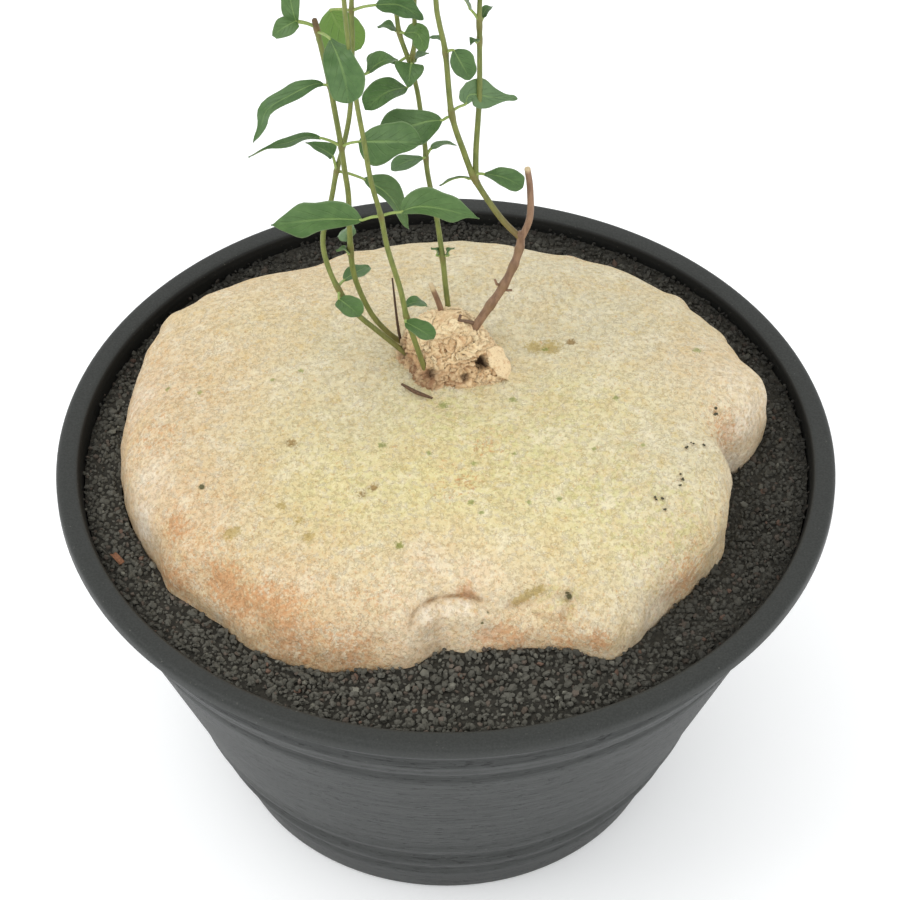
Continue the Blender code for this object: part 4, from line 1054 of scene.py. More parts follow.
def fine_marks():
    """Lines and spots of the bark that need small faces, with how far around them."""
    marks = [(groove.line, 2.5 * groove.width + 0.0005) for groove in GROOVES if groove.width < 0.0020]
    for x, y, size in MOSS_DOTS + DARK_SPECKS:
        marks.append(([(x, y, caudex_height(x, y))], 1.5 * size + 0.0005))
    return marks


def make_caudex():
    """The caudex's skin at full detail, over the same form as its solid."""
    points, normals, faces = refined(caudex_form())
    shown = np.clip((points[:, 2] - BARK_FOOT + 0.006) / 0.01, 0, 1)
    steep = 1 - np.clip(normals[:, 2], 0, 1)
    points[:, 2] += BARK_RELIEF * np.clip((points[:, 2] - BARK_FOOT) / 0.01, 0, 1) * rough(points, BARK_SCALE)
    relief = sum(height * rough(points, size) for size, height in BARK_LUMPS) * shown
    relief += LIP_RELIEF * steep * shown * rough(points, LIP_SCALE)
    for groove in GROOVES:
        away = line_distance(points, groove.line) / groove.width
        relief -= groove.depth * np.exp(-away * away)
    moss = blotted(points, [Blot((x, y, caudex_height(x, y)), 1.1 * size, 1.0) for x, y, size in MOSS_DOTS])
    specks = blotted(points, [Blot((x, y, caudex_height(x, y)), size, 1.0) for x, y, size in DARK_SPECKS])
    values = {
        "rust": blotted(points, RUST_BLOTS) + 0.20 * steep * shown,
        "pink": np.clip(blotted(points, PINK_BLOTS) + 0.6 * steep, 0, 1),
        "pale": blotted(points, PALE_BLOTS),
        "green": blotted(points, GREEN_BLOTS),
        "grey": blotted(points, GREY_BLOTS),
        "yellow": blotted(points, YELLOW_BLOTS),
        "stain": np.clip(blotted(points, STAIN_BLOTS), 0, 1),
        "dimple": blotted(points, DIMPLE_BLOTS),
        "pit": blotted(points, PIT_BLOTS),
        "moss": moss,
        # shade is painted shade from crease_shade, with the dark specks added to it.
        "shade": np.clip(crease_shade(points) + 0.8 * specks * (rough(points, 0.0007) > -0.1), 0, 1),
    }
    skin = Skin()
    skin.add(list(points + normals * relief[:, None]), faces, **values)
    keep(skin.build("caudex.bark", bark_material()), "caudex", "caudex")


def crease_shade(points):
    """Painted shade along the skin fold and the hollow beside it, where the bark meets the grit, and faintly
    over the left side.
    """
    shade = np.zeros(len(points))
    for line, width, amount in SHADED_LINES:
        away = line_distance(points, line) / width
        shade = np.maximum(shade, amount * np.exp(-away * away))
    foot = np.clip((FOOT_SHADE_TOP - points[:, 2]) / FOOT_SHADE_DEPTH, 0, 1) * (points[:, 1] < 0)
    left = np.clip((-points[:, 0] - 0.5 * points[:, 1] - LEFT_SHADE_START) / LEFT_SHADE_REACH, 0, 1)
    return np.clip(shade + FOOT_SHADE * foot + LEFT_SHADE * left, 0, 1)


def caudex_height(x, y):
    """Height of the caudex's top at a place in plan, by halving."""
    degrees = math.degrees(math.atan2(y, x))
    distance = math.hypot(x, y)
    low, high = around(WAIST_HEIGHT, degrees), CAUDEX_TOP
    for _ in range(30):
        middle = (low + high) / 2
        if caudex_reach(degrees, middle) > distance:
            low = middle
        else:
            high = middle
    return low + BARK_RELIEF * noise.noise(Vector((x, y, low)) / BARK_SCALE)


def crown_form():
    """The crown's plain form: points in rings, and the share of its height at each ring."""
    dense = np.linspace(0, 1, 801)
    cone = np.interp(dense, *zip(*CROWN_CONE))
    length = np.concatenate([[0], np.cumsum(np.hypot(np.diff(dense), np.diff(cone)))])
    rises = np.interp(np.linspace(0, length[-1], CROWN_RINGS + 1)[:-1], length, dense)
    angles = np.linspace(0, 360, CROWN_AROUND, endpoint=False)
    foot = np.array([around(CROWN_FOOT, angle) for angle in angles])
    full = np.array([around(CROWN_FULLNESS, angle) for angle in angles])
    turns = np.radians(angles)
    rings = []
    for rise in rises:
        dome = (1 - rise**2.4) ** (1 / 2.4)
        cone = np.interp(rise, *zip(*CROWN_CONE))
        radius = foot * (cone + (dome - cone) * full)
        x = CROWN_MIDDLE[0] + CROWN_LEAN[0] * rise + radius * np.cos(turns)
        y = CROWN_MIDDLE[1] + CROWN_LEAN[1] * rise + radius * np.sin(turns)
        z = np.full(CROWN_AROUND, CROWN_FOOT_HEIGHT + rise * (CROWN_TOP_HEIGHT - CROWN_FOOT_HEIGHT))
        rings.append(np.stack([x, y, z], axis=1))
    return np.array(rings), rises


def grid_normals(grid):
    """Outward directions at the points of rings that go up around something."""
    around_it = np.roll(grid, -1, axis=1) - np.roll(grid, 1, axis=1)
    upward = np.gradient(grid, axis=0)
    normals = np.cross(around_it, upward)
    return normals / np.maximum(np.linalg.norm(normals, axis=2, keepdims=True), 1e-12)


def add_knob(skin):
    """The crown's body of papery layers and folds, with its rotted holes and painted shade where they sink."""
    grid, rises = crown_form()
    normals = grid_normals(grid).reshape(-1, 3)
    points = grid.reshape(-1, 3)
    rise = np.repeat(rises, CROWN_AROUND)
    turn = np.tile(np.arange(CROWN_AROUND) / CROWN_AROUND, len(rises))
    coarse = rough(points, 0.0062)
    fine = rough(points + 0.05, 0.0023)
    layer = (4.2 * rise + 2.3 * coarse + 0.9 * fine) % 1
    # The count of folds around is whole, so that they meet.
    fold = CROWN_FOLD_COUNT * turn + 2.2 * rough(points + 0.02, 0.0056) + 1.0 * rough(points + 0.07, 0.0020)
    fold = fold % 1
    crumple = rough(points + 0.03, 0.0011)
    # The folds run together at the top, so they fade there.
    below = np.clip((0.97 - rise) / 0.20, 0, 1)
    relief = (CROWN_LAYER * (0.5 - layer) * (0.5 + 0.5 * below) + CROWN_FOLD * (0.5 - fold) * below
              + CROWN_CRUMPLE * crumple)
    dark = np.zeros(len(points))
    for x, y, z, size, depth in CROWN_HOLES:
        away = np.linalg.norm(points - np.array((x, y, z)), axis=1) / size
        away += 0.45 * rough(points + 0.09, 0.0012)
        hole = np.exp(-np.clip(away, 0, 9) ** 4)
        relief -= depth * hole
        # Dark inside the hole, as painted shade that grows with its depth.
        dark = np.maximum(dark, hole * min(1, depth / 0.003))
    # Painted shade in the cracks at the foot of each layer and fold.
    crack_shade = np.clip((layer - 0.86) / 0.14, 0, 1) + below * np.clip((fold - 0.86) / 0.14, 0, 1)
    dark = np.clip(dark + 0.50 * crack_shade * crack_shade, 0, 1)
    brown = np.clip(blotted(points, CROWN_BROWN) + 0.35 * np.clip(0.20 - rise, 0, 1) / 0.20, 0, 1)
    # tone is darker where layers and folds sink, as painted shade, varies with the coarse noise, and is paler
    # above the middle of the height.
    tone = np.clip(0.75 - 0.45 * layer - 0.25 * fold + 0.5 * coarse + 0.25 * (rise > 0.55), 0, 1)
    faces = grid_faces(len(rises), CROWN_AROUND)
    faces.append(tuple((len(rises) - 1) * CROWN_AROUND + column for column in range(CROWN_AROUND)))
    skin.add(list(points + normals * relief[:, None]), faces, tone=tone, dark=dark, brown=brown)


def add_flake(skin):
    """The big papery scale that stands off the crown."""
    # The vector noise differs from run to run unless it is seeded.
    noise.seed_set(FLAKE_SEED)
    path = smooth_path(FLAKE_ROUTE, FINE_SPACING)
    rib = [point + 0.0004 * noise.noise_vector(point / 0.003) for point in path]
    halves = []
    for index in range(len(rib)):
        share = index / (len(rib) - 1)
        body = 0.5 * FLAKE_WIDTH * (0.45 + 0.75 * math.sin(math.pi * min(1, 0.12 + 0.80 * share)))
        halves.append([body * (1 + 0.30 * noise.noise(Vector((0, share * 3.1, side)))) for side in (4, 9)])
    blade(skin, rib, Vector(FLAKE_FACE).normalized(), halves, 0, FLAKE_THICKNESS, FLAKE_FOLD, FLAKE_WAVE,
          tone=FLAKE_TONE, dark=0.0, brown=0.0)


def blade_outline(share):
    """Width of an even blade as a share of its widest, from its base to its tip."""
    return math.sin(math.pi * share**BLADE_POWER) ** BLADE_POWER if 0 < share < 1 else 0.0


def blade(skin, rib, face, halves, slot, thickness, fold, wave=0.0, phase=0.0, **values):
    """A thin blade along a rib: face is its upward direction and halves its (left, right) half widths."""
    rows = len(rib)
    columns = 2 * LEAF_ACROSS + 1
    top, under, shares, sides = [], [], [], []
    for index, (centre, half) in enumerate(zip(rib, halves)):
        along = (rib[min(index + 1, rows - 1)] - rib[max(index - 1, 0)]).normalized()
        upward = (face - along * face.dot(along)).normalized()
        side = along.cross(upward)
        share = index / (rows - 1)
        for step in range(-LEAF_ACROSS, LEAF_ACROSS + 1):
            place = step / LEAF_ACROSS
            reach = half[0] if place < 0 else half[1]
            ripple = wave * abs(place) ** 2 * math.sin(phase + 13 * share + (2.0 if place > 0 else 0.0))
            point = centre + side * place * reach + upward * (abs(place) ** 1.4 * reach * fold + ripple)
            # The blade thins out towards its edges.
            edge = 1 - 0.75 * abs(place) ** 6
            top.append(point + upward * thickness / 2 * edge)
            under.append(point - upward * thickness / 2 * edge)
            shares.append(share)
            sides.append(place)
    count = len(top)
    upper = grid_faces(rows, columns, wrap=False)
    lower = [tuple(count + corner for corner in face[::-1]) for face in upper]
    rim = []
    for row in range(rows - 1):
        left, right = row * columns, row * columns + columns - 1
        rim.append((left + columns, left, count + left, count + left + columns))
        rim.append((right, right + columns, count + right + columns, count + right))
    for column in range(columns - 1):
        first, last = column, (rows - 1) * columns + column
        rim.append((first, first + 1, count + first + 1, count + first))
        rim.append((last + 1, last, count + last, count + last + 1))
    given = dict(values, along=shares * 2, across=sides * 2, under=[0.0] * count + [1.0] * count)
    skin.add(top + under, [face[::-1] for face in upper + lower + rim], slot, **given)


def curve_point(a, b, c, d, t):
    """A smooth curve's value at a share t of the way from b to c, with a before them and d after them."""
    return 0.5 * (2 * b + (c - a) * t + (2 * a - 5 * b + 4 * c - d) * t**2 + (3 * b - a - 3 * c + d) * t**3)


def smooth_path(route, spacing=SAMPLE_SPACING):
    """Points along a smooth curve through a route, about one sample apart."""
    points = [Vector(point) for point in route]
    padded = [2 * points[0] - points[1], *points, 2 * points[-1] - points[-2]]
    path = []
    for a, b, c, d in zip(padded, padded[1:], padded[2:], padded[3:]):
        steps = max(1, round((c - b).length / spacing))
        path.extend(curve_point(a, b, c, d, step / steps) for step in range(steps))
    path.append(points[-1])
    return path


def tube(skin, path, radii, slot=0, sides=STEM_SIDES, **values):
    """A closed round rod along a path, with a rounded end. values may hold a list with one number a ring."""
    frame_side = Vector((1, 0, 0))
    rings = list(zip(path, radii))
    last_point, last_radius = rings[-1]
    heading = (path[-1] - path[-2]).normalized()
    for share in (0.5, 0.85):
        centre = last_point + heading * last_radius * share * 0.5
        rings.append((centre, last_radius * math.sqrt(1 - share * share)))
    points = []
    for index, (centre, radius) in enumerate(rings):
        ahead = (rings[min(index + 1, len(rings) - 1)][0] - rings[max(index - 1, 0)][0]).normalized()
        frame_side = (frame_side - ahead * frame_side.dot(ahead)).normalized()
        other = ahead.cross(frame_side)
        for step in range(sides):
            turn = math.tau * step / sides
            points.append(centre + (frame_side * math.cos(turn) + other * math.sin(turn)) * radius)
    faces = grid_faces(len(rings), sides)
    faces.append(tuple(reversed(range(sides))))
    faces.append(tuple((len(rings) - 1) * sides + step for step in range(sides)))
    given = {}
    for key, value in values.items():
        ringed = list(value) + [value[-1]] * 2 if hasattr(value, "__len__") else [value] * len(rings)
        given[key] = [number for number in ringed for _ in range(sides)]
    skin.add(points, faces, slot, **given)


def taper(path, start, end, nodes=()):
    """Radii along a path, swollen at its nodes' heights."""
    radii = []
    for index, point in enumerate(path):
        radius = start + (end - start) * index / (len(path) - 1)
        swelling = sum(math.exp(-(((point.z - node) / NODE_REACH) ** 2)) for node in nodes)
        radii.append(radius * (1 + NODE_SWELLING * min(1, swelling)))
    return radii


def point_at_height(path, height):
    for low, high in zip(path, path[1:]):
        if low.z <= height <= high.z:
            return low.lerp(high, (height - low.z) / (high.z - low.z))
    raise ValueError(f"no stem at height {height}")


def along_values(values, share):
    """Smooth curve through evenly spaced values, read at a share of its length."""
    padded = [2 * values[0] - values[1], *values, 2 * values[-1] - values[-2]]
    place = share * (len(values) - 1)
    span = min(int(place), len(values) - 2)
    return curve_point(*padded[span:span + 4], place - span)


def leaf_rib(leaf, face):
    """Points of a leaf's rib from its base to its tip, closer together at the ends."""
    path = smooth_path([leaf.base, *leaf.via, leaf.tip], 0.0005)
    length = np.concatenate([[0], np.cumsum([(b - a).length for a, b in zip(path, path[1:])])])
    shares = [0.5 - 0.5 * math.cos(math.pi * index / LEAF_ALONG) for index in range(LEAF_ALONG + 1)]
    rib = []
    for share in shares:
        place = Vector([np.interp(share * length[-1], length, column) for column in zip(*path)])
        rib.append(place if leaf.via else place + face * leaf.arch * 4 * share * (1 - share))
    return rib, shares


def half_widths(leaf, share, number):
    """Half widths of a blade to the left and right of its rib, rounded off at its ends."""
    if leaf.left:
        rounding = min(1, math.sqrt(share / 0.05), math.sqrt(max(0, 1 - share) / 0.07))
        left, right = (along_values(values, share) * rounding for values in (leaf.left, leaf.right))
    else:
        left = right = leaf.width * blade_outline(share) / 2
    uneven = 0.06 * noise.noise(Vector((number * 2.3, share * 5, 1)))
    return max(LEAST_HALF_WIDTH, left * (1 + uneven)), max(LEAST_HALF_WIDTH, right * (1 - uneven))


def add_leaf(skin, leaf, root, number):
    """One leaf: its petiole, its blade, and the rib that stands out under it."""
    along = (Vector(leaf.tip) - Vector(leaf.base)).normalized()
    face = Vector(leaf.face)
    face = (face - along * face.dot(along)).normalized()
    rib, shares = leaf_rib(leaf, face)
    halves = [half_widths(leaf, share, number) for share in shares]
    tone = 0.5 + 0.5 * noise.noise(Vector((number * 1.37 + 0.5, leaf.height * 90, 2)))
    blade(skin, rib, face, halves, 1, LEAF_THICKNESS, leaf.fold, leaf.wave, number * 1.9, tone=tone,
          pallor=leaf.pallor, glow=leaf.glow)
    middle = root.lerp(rib[0], 0.5) + Vector((0, 0, 0.0004))
    stalk = smooth_path([root, middle, rib[0], rib[3]], FINE_SPACING)
    tube(skin, stalk, taper(stalk, PETIOLE_RADIUS, 0.8 * PETIOLE_RADIUS), 2, 8, along=0.0)
    keel = [point - face * LEAF_THICKNESS * 0.6 for point in rib[2:-4]]
    tube(skin, keel, taper(keel, 0.7 * PETIOLE_RADIUS, 0.0001), 2, 6)


def rooted_path(shoot):
    """A stem's path, led straight back into the crown."""
    first, second = Vector(shoot.route[0]), Vector(shoot.route[1])
    return smooth_path([first + (first - second).normalized() * ROOT_DEPTH, *shoot.route])


def stem_tones(shoot, path, nodes):
    """How brown a stem is at each ring: at its nodes, at its foot and at a dry end."""
    start = path[0].z if shoot is RIGHT_SHOOT else STEM_FOOT
    foot_tone = 0.9 if shoot is RIGHT_SHOOT else 0.5
    tones = []
    for index, point in enumerate(path):
        near = max([math.exp(-(((point.z - node) / NODE_TONE_REACH) ** 2)) for node in nodes] or [0])
        foot = 0 if shoot in WOODY_SHOOTS else max(0, 1 - (point.z - start) / FOOT_TONE_REACH)
        dry = 1.0 if shoot is LEFT_INNER and index > len(path) - 4 else 0.0
        tones.append(min(1, max(dry, 0.45 * near + foot_tone * foot * foot)))
    return tones


def make_stem(node, shoots, slot, materials):
    """A stem with its shoots, leaf stalks and leaves in one piece."""
    skin = Skin()
    number = 0
    for index, shoot in enumerate(shoots):
        path = rooted_path(shoot) if index == 0 else smooth_path(shoot.route)
        nodes = WOOD_SCARS if shoot is WOODY_BASE else sorted({leaf.height for leaf in shoot.leaves})
        radii = taper(path, shoot.start_radius, shoot.end_radius, nodes)
        cut = end_rings(path, 1, 1.0 if shoot is WOODY_STUB else 0.0)
        dark = end_rings(path, 2, 0.45 if shoot is LEFT_INNER else 0.0)
        tones = stem_tones(shoot, path, nodes)
        tube(skin, path, radii, 3 if shoot in WOODY_SHOOTS else 0, tone=tones, cut=cut, dark=dark)
        for leaf in shoot.leaves:
            add_leaf(skin, leaf, point_at_height(path, leaf.height), number)
            number += 1
    keep(skin.build(f"{node}.green", *materials), slot, node)


def end_rings(path, count, amount):
    """A value for each ring of a stem that is nothing but at its last rings."""
    return [0.0] * (len(path) - count) + [amount] * count


def make_stems():
    """The five stems. Hands back the material of old wood."""
    green = stem_material("stem_green", srgb(120, 128, 66), srgb(99, 110, 54), srgb(112, 98, 56))
    stalk = stem_material("leaf_stalk", srgb(146, 164, 92), srgb(132, 152, 82), srgb(136, 146, 86))
    wood = stem_material("stem_wood", srgb(142, 112, 88), srgb(118, 90, 70), srgb(92, 72, 55))
    materials = [green, leaf_material(), stalk, wood]
    make_stem("stem_left_outer", [LEFT_OUTER], "leafy_stem", materials)
    make_stem("stem_left_inner", [LEFT_INNER], "leafy_stem", materials)
    make_stem("stem_front", [FRONT_STEM], "leafy_stem", materials)
    make_stem("stem_back", [BACK_STEM, BACK_FORK], "leafy_stem", materials)
    make_stem("stem_woody", [*WOODY_SHOOTS, RIGHT_SHOOT, RIGHT_FORK], "woody_stem", materials)
    return wood


def make_crown(wood):
    """The corky crown with its scale, and what is left of older shoots on it."""
    skin = Skin()
    add_knob(skin)
    add_flake(skin)
    for shoot, dark in ((CUT_STUB, 0.0), (DRY_NUB, 0.5), (DEAD_TWIG, 0.9)):
        path = smooth_path(shoot.route)
        cut = end_rings(path, 2, 1.0 if shoot is CUT_STUB else 0.0)
        tube(skin, path, taper(path, shoot.start_radius, shoot.end_radius), 1, dark=dark, cut=cut)
    keep(skin.build("caudex.crown", cork_material(), wood), "caudex")


def soil_height(x, y):
    """Height of the grit: sloped and uneven a little, and heaped against the caudex's front."""
    across = (x - SOIL_HEAP_PLACE[0]) / SOIL_HEAP_REACH[0]
    towards = (y - SOIL_HEAP_PLACE[1]) / SOIL_HEAP_REACH[1]
    heap = SOIL_HEAP * math.exp(-(across * across) - towards * towards)
    level = SOIL_LEVEL + SOIL_SLOPE[0] * x + SOIL_SLOPE[1] * y
    return level + heap + SOIL_RIPPLE * noise.noise(Vector((x, y, 0.3)) / 0.007)


def inner_wall(depth):
    """Inner radius of the pot at a depth under the rim."""
    plain = WALL_TOP_RADIUS + (BASE_RADIUS - WALL_TOP_RADIUS) * depth / POT_HEIGHT - WALL_THICKNESS
    return min(plain, RIM_RADIUS - RIM_BAND - 0.1 * depth)


def grain_shapes(rng):
    """A few broken lumps of about unit size."""
    shapes = []
    for index in range(GRAIN_SHAPES):
        bm = bmesh.new()
        bmesh.ops.create_icosphere(bm, subdivisions=1, radius=1)
        offset = Vector((index * 7.3, 0, 0))
        stretch = Vector((rng.uniform(0.85, 1.25), rng.uniform(0.75, 1.1), rng.uniform(0.6, 0.9)))
        cuts = []
        for _ in range(GRAIN_CUTS):
            normal = Vector([rng.gauss(0, 1) for _ in range(3)]).normalized()
            cuts.append((normal, rng.uniform(0.48, 0.78)))
        for vert in bm.verts:
            point = vert.co.normalized() * (1 + 0.32 * noise.noise(vert.co * 1.6 + offset))
            for normal, reach in cuts:
                excess = point.dot(normal) - reach
                if excess > 0:
                    point -= normal * excess
            vert.co = Vector(a * b for a, b in zip(point, stretch))
        points = np.array([vert.co[:] for vert in bm.verts])
        triangles = np.array([[vert.index for vert in face.verts] for face in bm.faces])
        bm.free()
        shapes.append((points, triangles))
    return shapes


def grain_places(rng):
    """Places of the loose grains: a jittered sheet between caudex and pot, with some lying on top."""
    places = []
    reach = RIM_RADIUS - RIM_BAND
    steps = int(2 * reach / GRAIN_SPACING)
    for row in range(steps):
        for column in range(steps):
            x = -reach + (column + 0.5 * (row % 2)) * GRAIN_SPACING + rng.uniform(-0.4, 0.4) * GRAIN_SPACING
            y = -reach + row * GRAIN_SPACING + rng.uniform(-0.4, 0.4) * GRAIN_SPACING
            size = rng.uniform(*(GRAIN_SIZES if rng.random() < SMALL_GRAIN_SHARE else LARGE_GRAIN_SIZES))
            distance = math.hypot(x, y)
            level = soil_height(x, y)
            if distance > inner_wall(POT_HEIGHT - level) - 0.6 * size:
                continue
            direction = math.degrees(math.atan2(y, x)) % 360
            if distance < caudex_reach(direction, level) + 0.95 * lip_shift(direction) + 0.25 * size:
                continue
            places.append((x, y, level + rng.uniform(-0.0004, 0.0006), size))
            if rng.random() < TOP_GRAIN_SHARE:
                outward = 1 + 0.0009 / distance
                places.append((outward * x, outward * y, level + rng.uniform(0.0008, 0.0017), 0.75 * size))
    return places


def grain_shade(rng, x, y):
    """A grain's linear colour: mostly near black, some brown, a few pale; painted shadow by the wall, painted
    light at the front left.
    """
    chance = rng.random()
    low, high, drops = next(kind[1:] for kind in GRAIN_KINDS if chance < kind[0])
    tone = rng.uniform(low, high) if low < high else low
    # light paints shadow beside the wall, most at the back, and light towards the front left.
    gap = inner_wall(POT_HEIGHT - SOIL_LEVEL) - math.hypot(x, y)
    light = 1 - (0.5 if y > 0 else 0.3) * max(0, 1 - gap / 0.007)
    light += 0.32 * min(1, max(0, (-x - y) / 0.08))
    return srgb(*[light * (tone - drop) for drop in drops])


def make_grit():
    """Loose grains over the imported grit, in a few pieces by direction."""
    rng = random.Random(GRIT_SEED)
    shapes = grain_shapes(rng)
    places = sorted(grain_places(rng), key=lambda place: math.atan2(place[1], place[0]))
    material = grit_material()
    total = len(places)
    for piece in range(GRIT_PIECES):
        points, triangles, shades = [], [], []
        start = 0
        for x, y, z, size in places[piece * total // GRIT_PIECES:(piece + 1) * total // GRIT_PIECES]:
            shape, corners = shapes[rng.randrange(GRAIN_SHAPES)]
            turn = np.array(random_turn(rng))
            points.append(shape @ turn * size + np.array((x, y, z)))
            triangles.append(corners + start)
            shades.append(np.tile(grain_shade(rng, x, y), (len(shape), 1)))
            start += len(shape)
        name = f"grit.{piece}"
        mesh = new_mesh(name, np.concatenate(points).tolist(), np.concatenate(triangles).tolist(), material)
        attribute = mesh.attributes.new("shade", "FLOAT_COLOR", "POINT")
        attribute.data.foreach_set("color", np.concatenate(shades).astype(np.float32).ravel())
        keep(placed(name, mesh), "soil")
    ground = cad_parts["soil"]
    ground.data.materials.clear()
    ground.data.materials.append(ground_material())


def random_turn(rng):
    """A random rotation, as three rows."""
    first = Vector([rng.gauss(0, 1) for _ in range(3)]).normalized()
    other = Vector([rng.gauss(0, 1) for _ in range(3)])
    second = first.cross(other).normalized()
    return [first[:], second[:], first.cross(second)[:]]


def wall_radius(depth):
    """Outer radius of the pot's wall at a depth under the rim, with its rings."""
    radius = WALL_TOP_RADIUS + (BASE_RADIUS - WALL_TOP_RADIUS) * depth / POT_HEIGHT
    for ring_depth, stand_out, half_height in WALL_RINGS:
        radius += stand_out * math.exp(-(((depth - ring_depth) / half_height) ** 2))
    return radius


def pot_profile():
    """Radius and height from the inside of the floor up, over the rim, and down the outer wall to the foot."""
    inside = [(inner_wall(POT_HEIGHT - FLOOR_TOP), FLOOR_TOP)]
    inside += [(inner_wall(depth), POT_HEIGHT - depth) for depth in INSIDE_DEPTHS]
    turns = [0.5 * math.pi * step / RIM_STEPS for step in range(RIM_STEPS + 1)]
    rising = [(RIM_ROUNDING * (1 - math.cos(turn)), RIM_ROUNDING * (1 - math.sin(turn))) for turn in turns]
    rim = [(RIM_RADIUS - RIM_BAND + level, POT_HEIGHT - upright) for level, upright in rising]
    rim += [(RIM_RADIUS - upright, POT_HEIGHT - level) for level, upright in rising]
    rim.append((RIM_RADIUS, POT_HEIGHT - RIM_DEPTH + 0.0006))
    rim.append((RIM_RADIUS - 0.0004, POT_HEIGHT - RIM_DEPTH))
    depths = np.linspace(RIM_DEPTH + 0.0004, POT_HEIGHT - 0.002, WALL_STEPS)
    outside = [(wall_radius(depth), POT_HEIGHT - depth) for depth in depths]
    foot = BASE_RADIUS - FOOT_WIDTH
    base = [(BASE_RADIUS, 0.0008), (BASE_RADIUS - 0.0010, 0), (foot, 0), (foot - 0.0015, FOOT_RECESS)]
    return inside + rim + outside + base


def make_pot():
    """The pot, turned at full detail, with its drain holes cut."""
    profile = pot_profile()
    turns = [math.tau * step / POT_SEGMENTS for step in range(POT_SEGMENTS)]
    points, wall, inside = [], [], []
    for radius, height in profile:
        points += [(radius * math.cos(turn), radius * math.sin(turn), height) for turn in turns]
        outer = radius > inner_wall(POT_HEIGHT - height) + 0.002
        wall += [1.0 if outer and 0.004 < height < POT_HEIGHT - RIM_DEPTH else 0.0] * POT_SEGMENTS
        # inside marks the inner wall, which gets painted shade.
        inside += [0.0 if outer or height > POT_HEIGHT - 0.0006 else 1.0] * POT_SEGMENTS
    faces = grid_faces(len(profile), POT_SEGMENTS)
    faces.append(tuple(range(POT_SEGMENTS)))
    faces.append(tuple((len(profile) - 1) * POT_SEGMENTS + step for step in reversed(range(POT_SEGMENTS))))
    skin = Skin()
    skin.add(points, [face[::-1] for face in faces], wall=wall, inside=inside)
    pot = skin.build("pot.wall", pot_material())
    cut_drains(pot)
    pot.data.shade_smooth()
    pot.data.set_sharp_from_angle(angle=math.radians(50))
    keep(pot, "pot", "pot")


def cut_drains(pot):
    """Cuts one drain hole in the middle of the pot's floor and the others around it."""
    angles = [math.tau * (index + 0.5) / DRAIN_COUNT for index in range(DRAIN_COUNT)]
    ring = [(DRAIN_CIRCLE * math.cos(angle), DRAIN_CIRCLE * math.sin(angle)) for angle in angles]
    for x, y in [(0, 0)] + ring:
        bm = bmesh.new()
        bmesh.ops.create_cone(bm, cap_ends=True, segments=24, radius1=DRAIN_RADIUS, radius2=DRAIN_RADIUS,
                              depth=4 * FLOOR_TOP)
        mesh = bpy.data.meshes.new("drain")
        bm.to_mesh(mesh)
        bm.free()
        cutter = placed("drain", mesh)
        cutter.location = (x, y, FLOOR_TOP / 2)
        pot.modifiers.new("drain", "BOOLEAN").object = cutter
        apply_modifiers(pot)
        bpy.data.objects.remove(cutter)


def apply_modifiers(obj):
    """Puts the mesh that an object's modifiers make in the place of its own."""
    bpy.context.view_layer.update()
    mesh = bpy.data.meshes.new_from_object(obj.evaluated_get(bpy.context.evaluated_depsgraph_get()))
    obj.modifiers.clear()
    obj.data = mesh


def lump(skin, place, size, seed):
    """A small rounded lump with a rough skin, a little flat."""
    bm = bmesh.new()
    bmesh.ops.create_icosphere(bm, subdivisions=2, radius=1)
    points = []
    for vert in bm.verts:
        swell = 1 + 0.5 * noise.noise(vert.co * 1.9 + Vector((seed, 0, 0)))
        point = vert.co * swell * size
        points.append(Vector(place) + Vector((point.x, point.y, point.z * CRUMB_FLATNESS)))
    faces = [tuple(vert.index for vert in face.verts) for face in bm.faces]
    bm.free()
    skin.add(points, faces)


def make_crumbs():
    """Dark crumbs that lie on the bark's right side."""
    rng = random.Random(CRUMB_SEED)
    skin = Skin()
    for x, y, size in DARK_SPECKS:
        for _ in range(CRUMBS_PER_SPECK):
            px = x + rng.gauss(0, 0.5) * size
            py = y + rng.gauss(0, 0.5) * size
            lump(skin, (px, py, caudex_height(px, py) + 0.0001), 0.5 * size, rng.random() * 90)
    keep(skin.build("caudex.crumbs", plain_material("crumb", srgb(74, 72, 52))), "caudex")


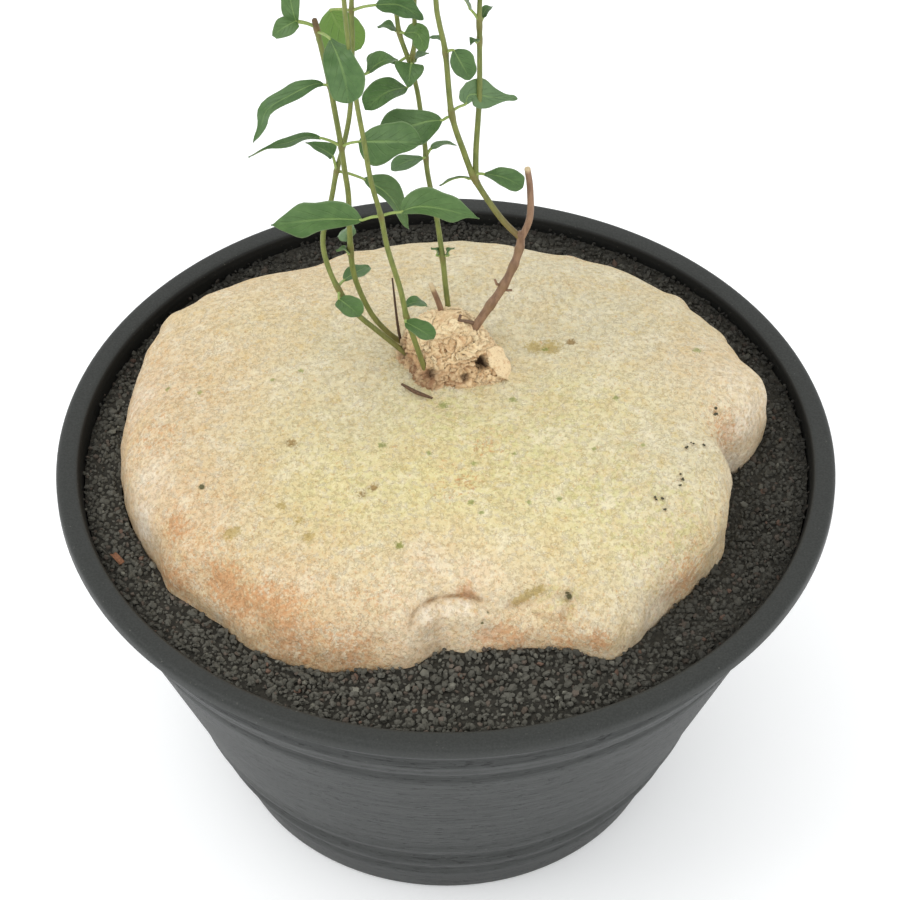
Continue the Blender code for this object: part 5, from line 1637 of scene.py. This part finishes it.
def make_scraps():
    """A dry sliver of stem on the caudex, and a chip of bark on the grit."""
    sliver = Skin()
    path = smooth_path(DRY_SLIVER, FINE_SPACING)
    places = [0.08 + 0.9 * index / len(path) for index in range(len(path))]
    radii = [0.0003 + 0.0004 * math.sin(math.pi * place) for place in places]
    tube(sliver, path, radii, 0, 8)
    keep(sliver.build("caudex.sliver", plain_material("dry_stem", srgb(104, 78, 56))), "caudex")
    chip = Skin()
    rib = smooth_path(CHIP_ROUTE, 0.0006)
    blade(chip, rib, Vector(CHIP_FACE), [CHIP_HALVES] * len(rib), 0, CHIP_THICKNESS, CHIP_FOLD)
    keep(chip.build("soil.chip", plain_material("chip", srgb(128, 86, 58))), "soil")


def soft_light(name, place, energy):
    """A round soft light aimed at the plant."""
    data = bpy.data.lights.new(name, "AREA")
    data.shape = "DISK"
    data.size = LIGHT_SIZE
    data.energy = energy
    light = placed(name, data)
    light.location = place
    light.rotation_euler = (Vector((0, 0, LIGHT_AIM)) - light.location).to_track_quat("-Z", "Y").to_euler()


def make_stage():
    """The pale floor, the soft light and the camera."""
    g = Graph("floor")
    g.shader.inputs["Emission Color"].default_value = (0.97, 0.99, 1.0, 1)
    pale = g.finish((0.95, 0.96, 0.965, 1), 0.9, Specular_IOR_Level=0.1, Emission_Strength=0.16)
    corners = [(FLOOR_REACH * x, FLOOR_REACH * y, 0) for x, y in ((-1, -1), (1, -1), (1, 1), (-1, 1))]
    placed("floor", new_mesh("floor", corners, [(0, 1, 2, 3)], pale))
    world = bpy.data.worlds.new("studio")
    bpy.context.scene.world = world
    world.use_nodes = True
    background = world.node_tree.nodes["Background"]
    background.inputs["Color"].default_value = (1.0, 1.0, 1.0, 1)
    background.inputs["Strength"].default_value = SKY_STRENGTH
    soft_light("softbox", (-1.0, -0.4, 1.7), 8)
    soft_light("front_fill", (0.2, -1.9, 1.3), 7)
    lens = bpy.data.cameras.new("camera")
    lens.sensor_width = 36
    lens.lens = CAMERA_LENS
    camera = placed("camera", lens)
    camera.location = CAMERA_PLACE
    camera.rotation_euler = (math.radians(CAMERA_TILT), 0, 0)
    bpy.context.scene.camera = camera
    bpy.context.scene.view_settings.view_transform = "Standard"


make_stage()
make_pot()
make_grit()
make_caudex()
make_crown(make_stems())
make_crumbs()
make_scraps()
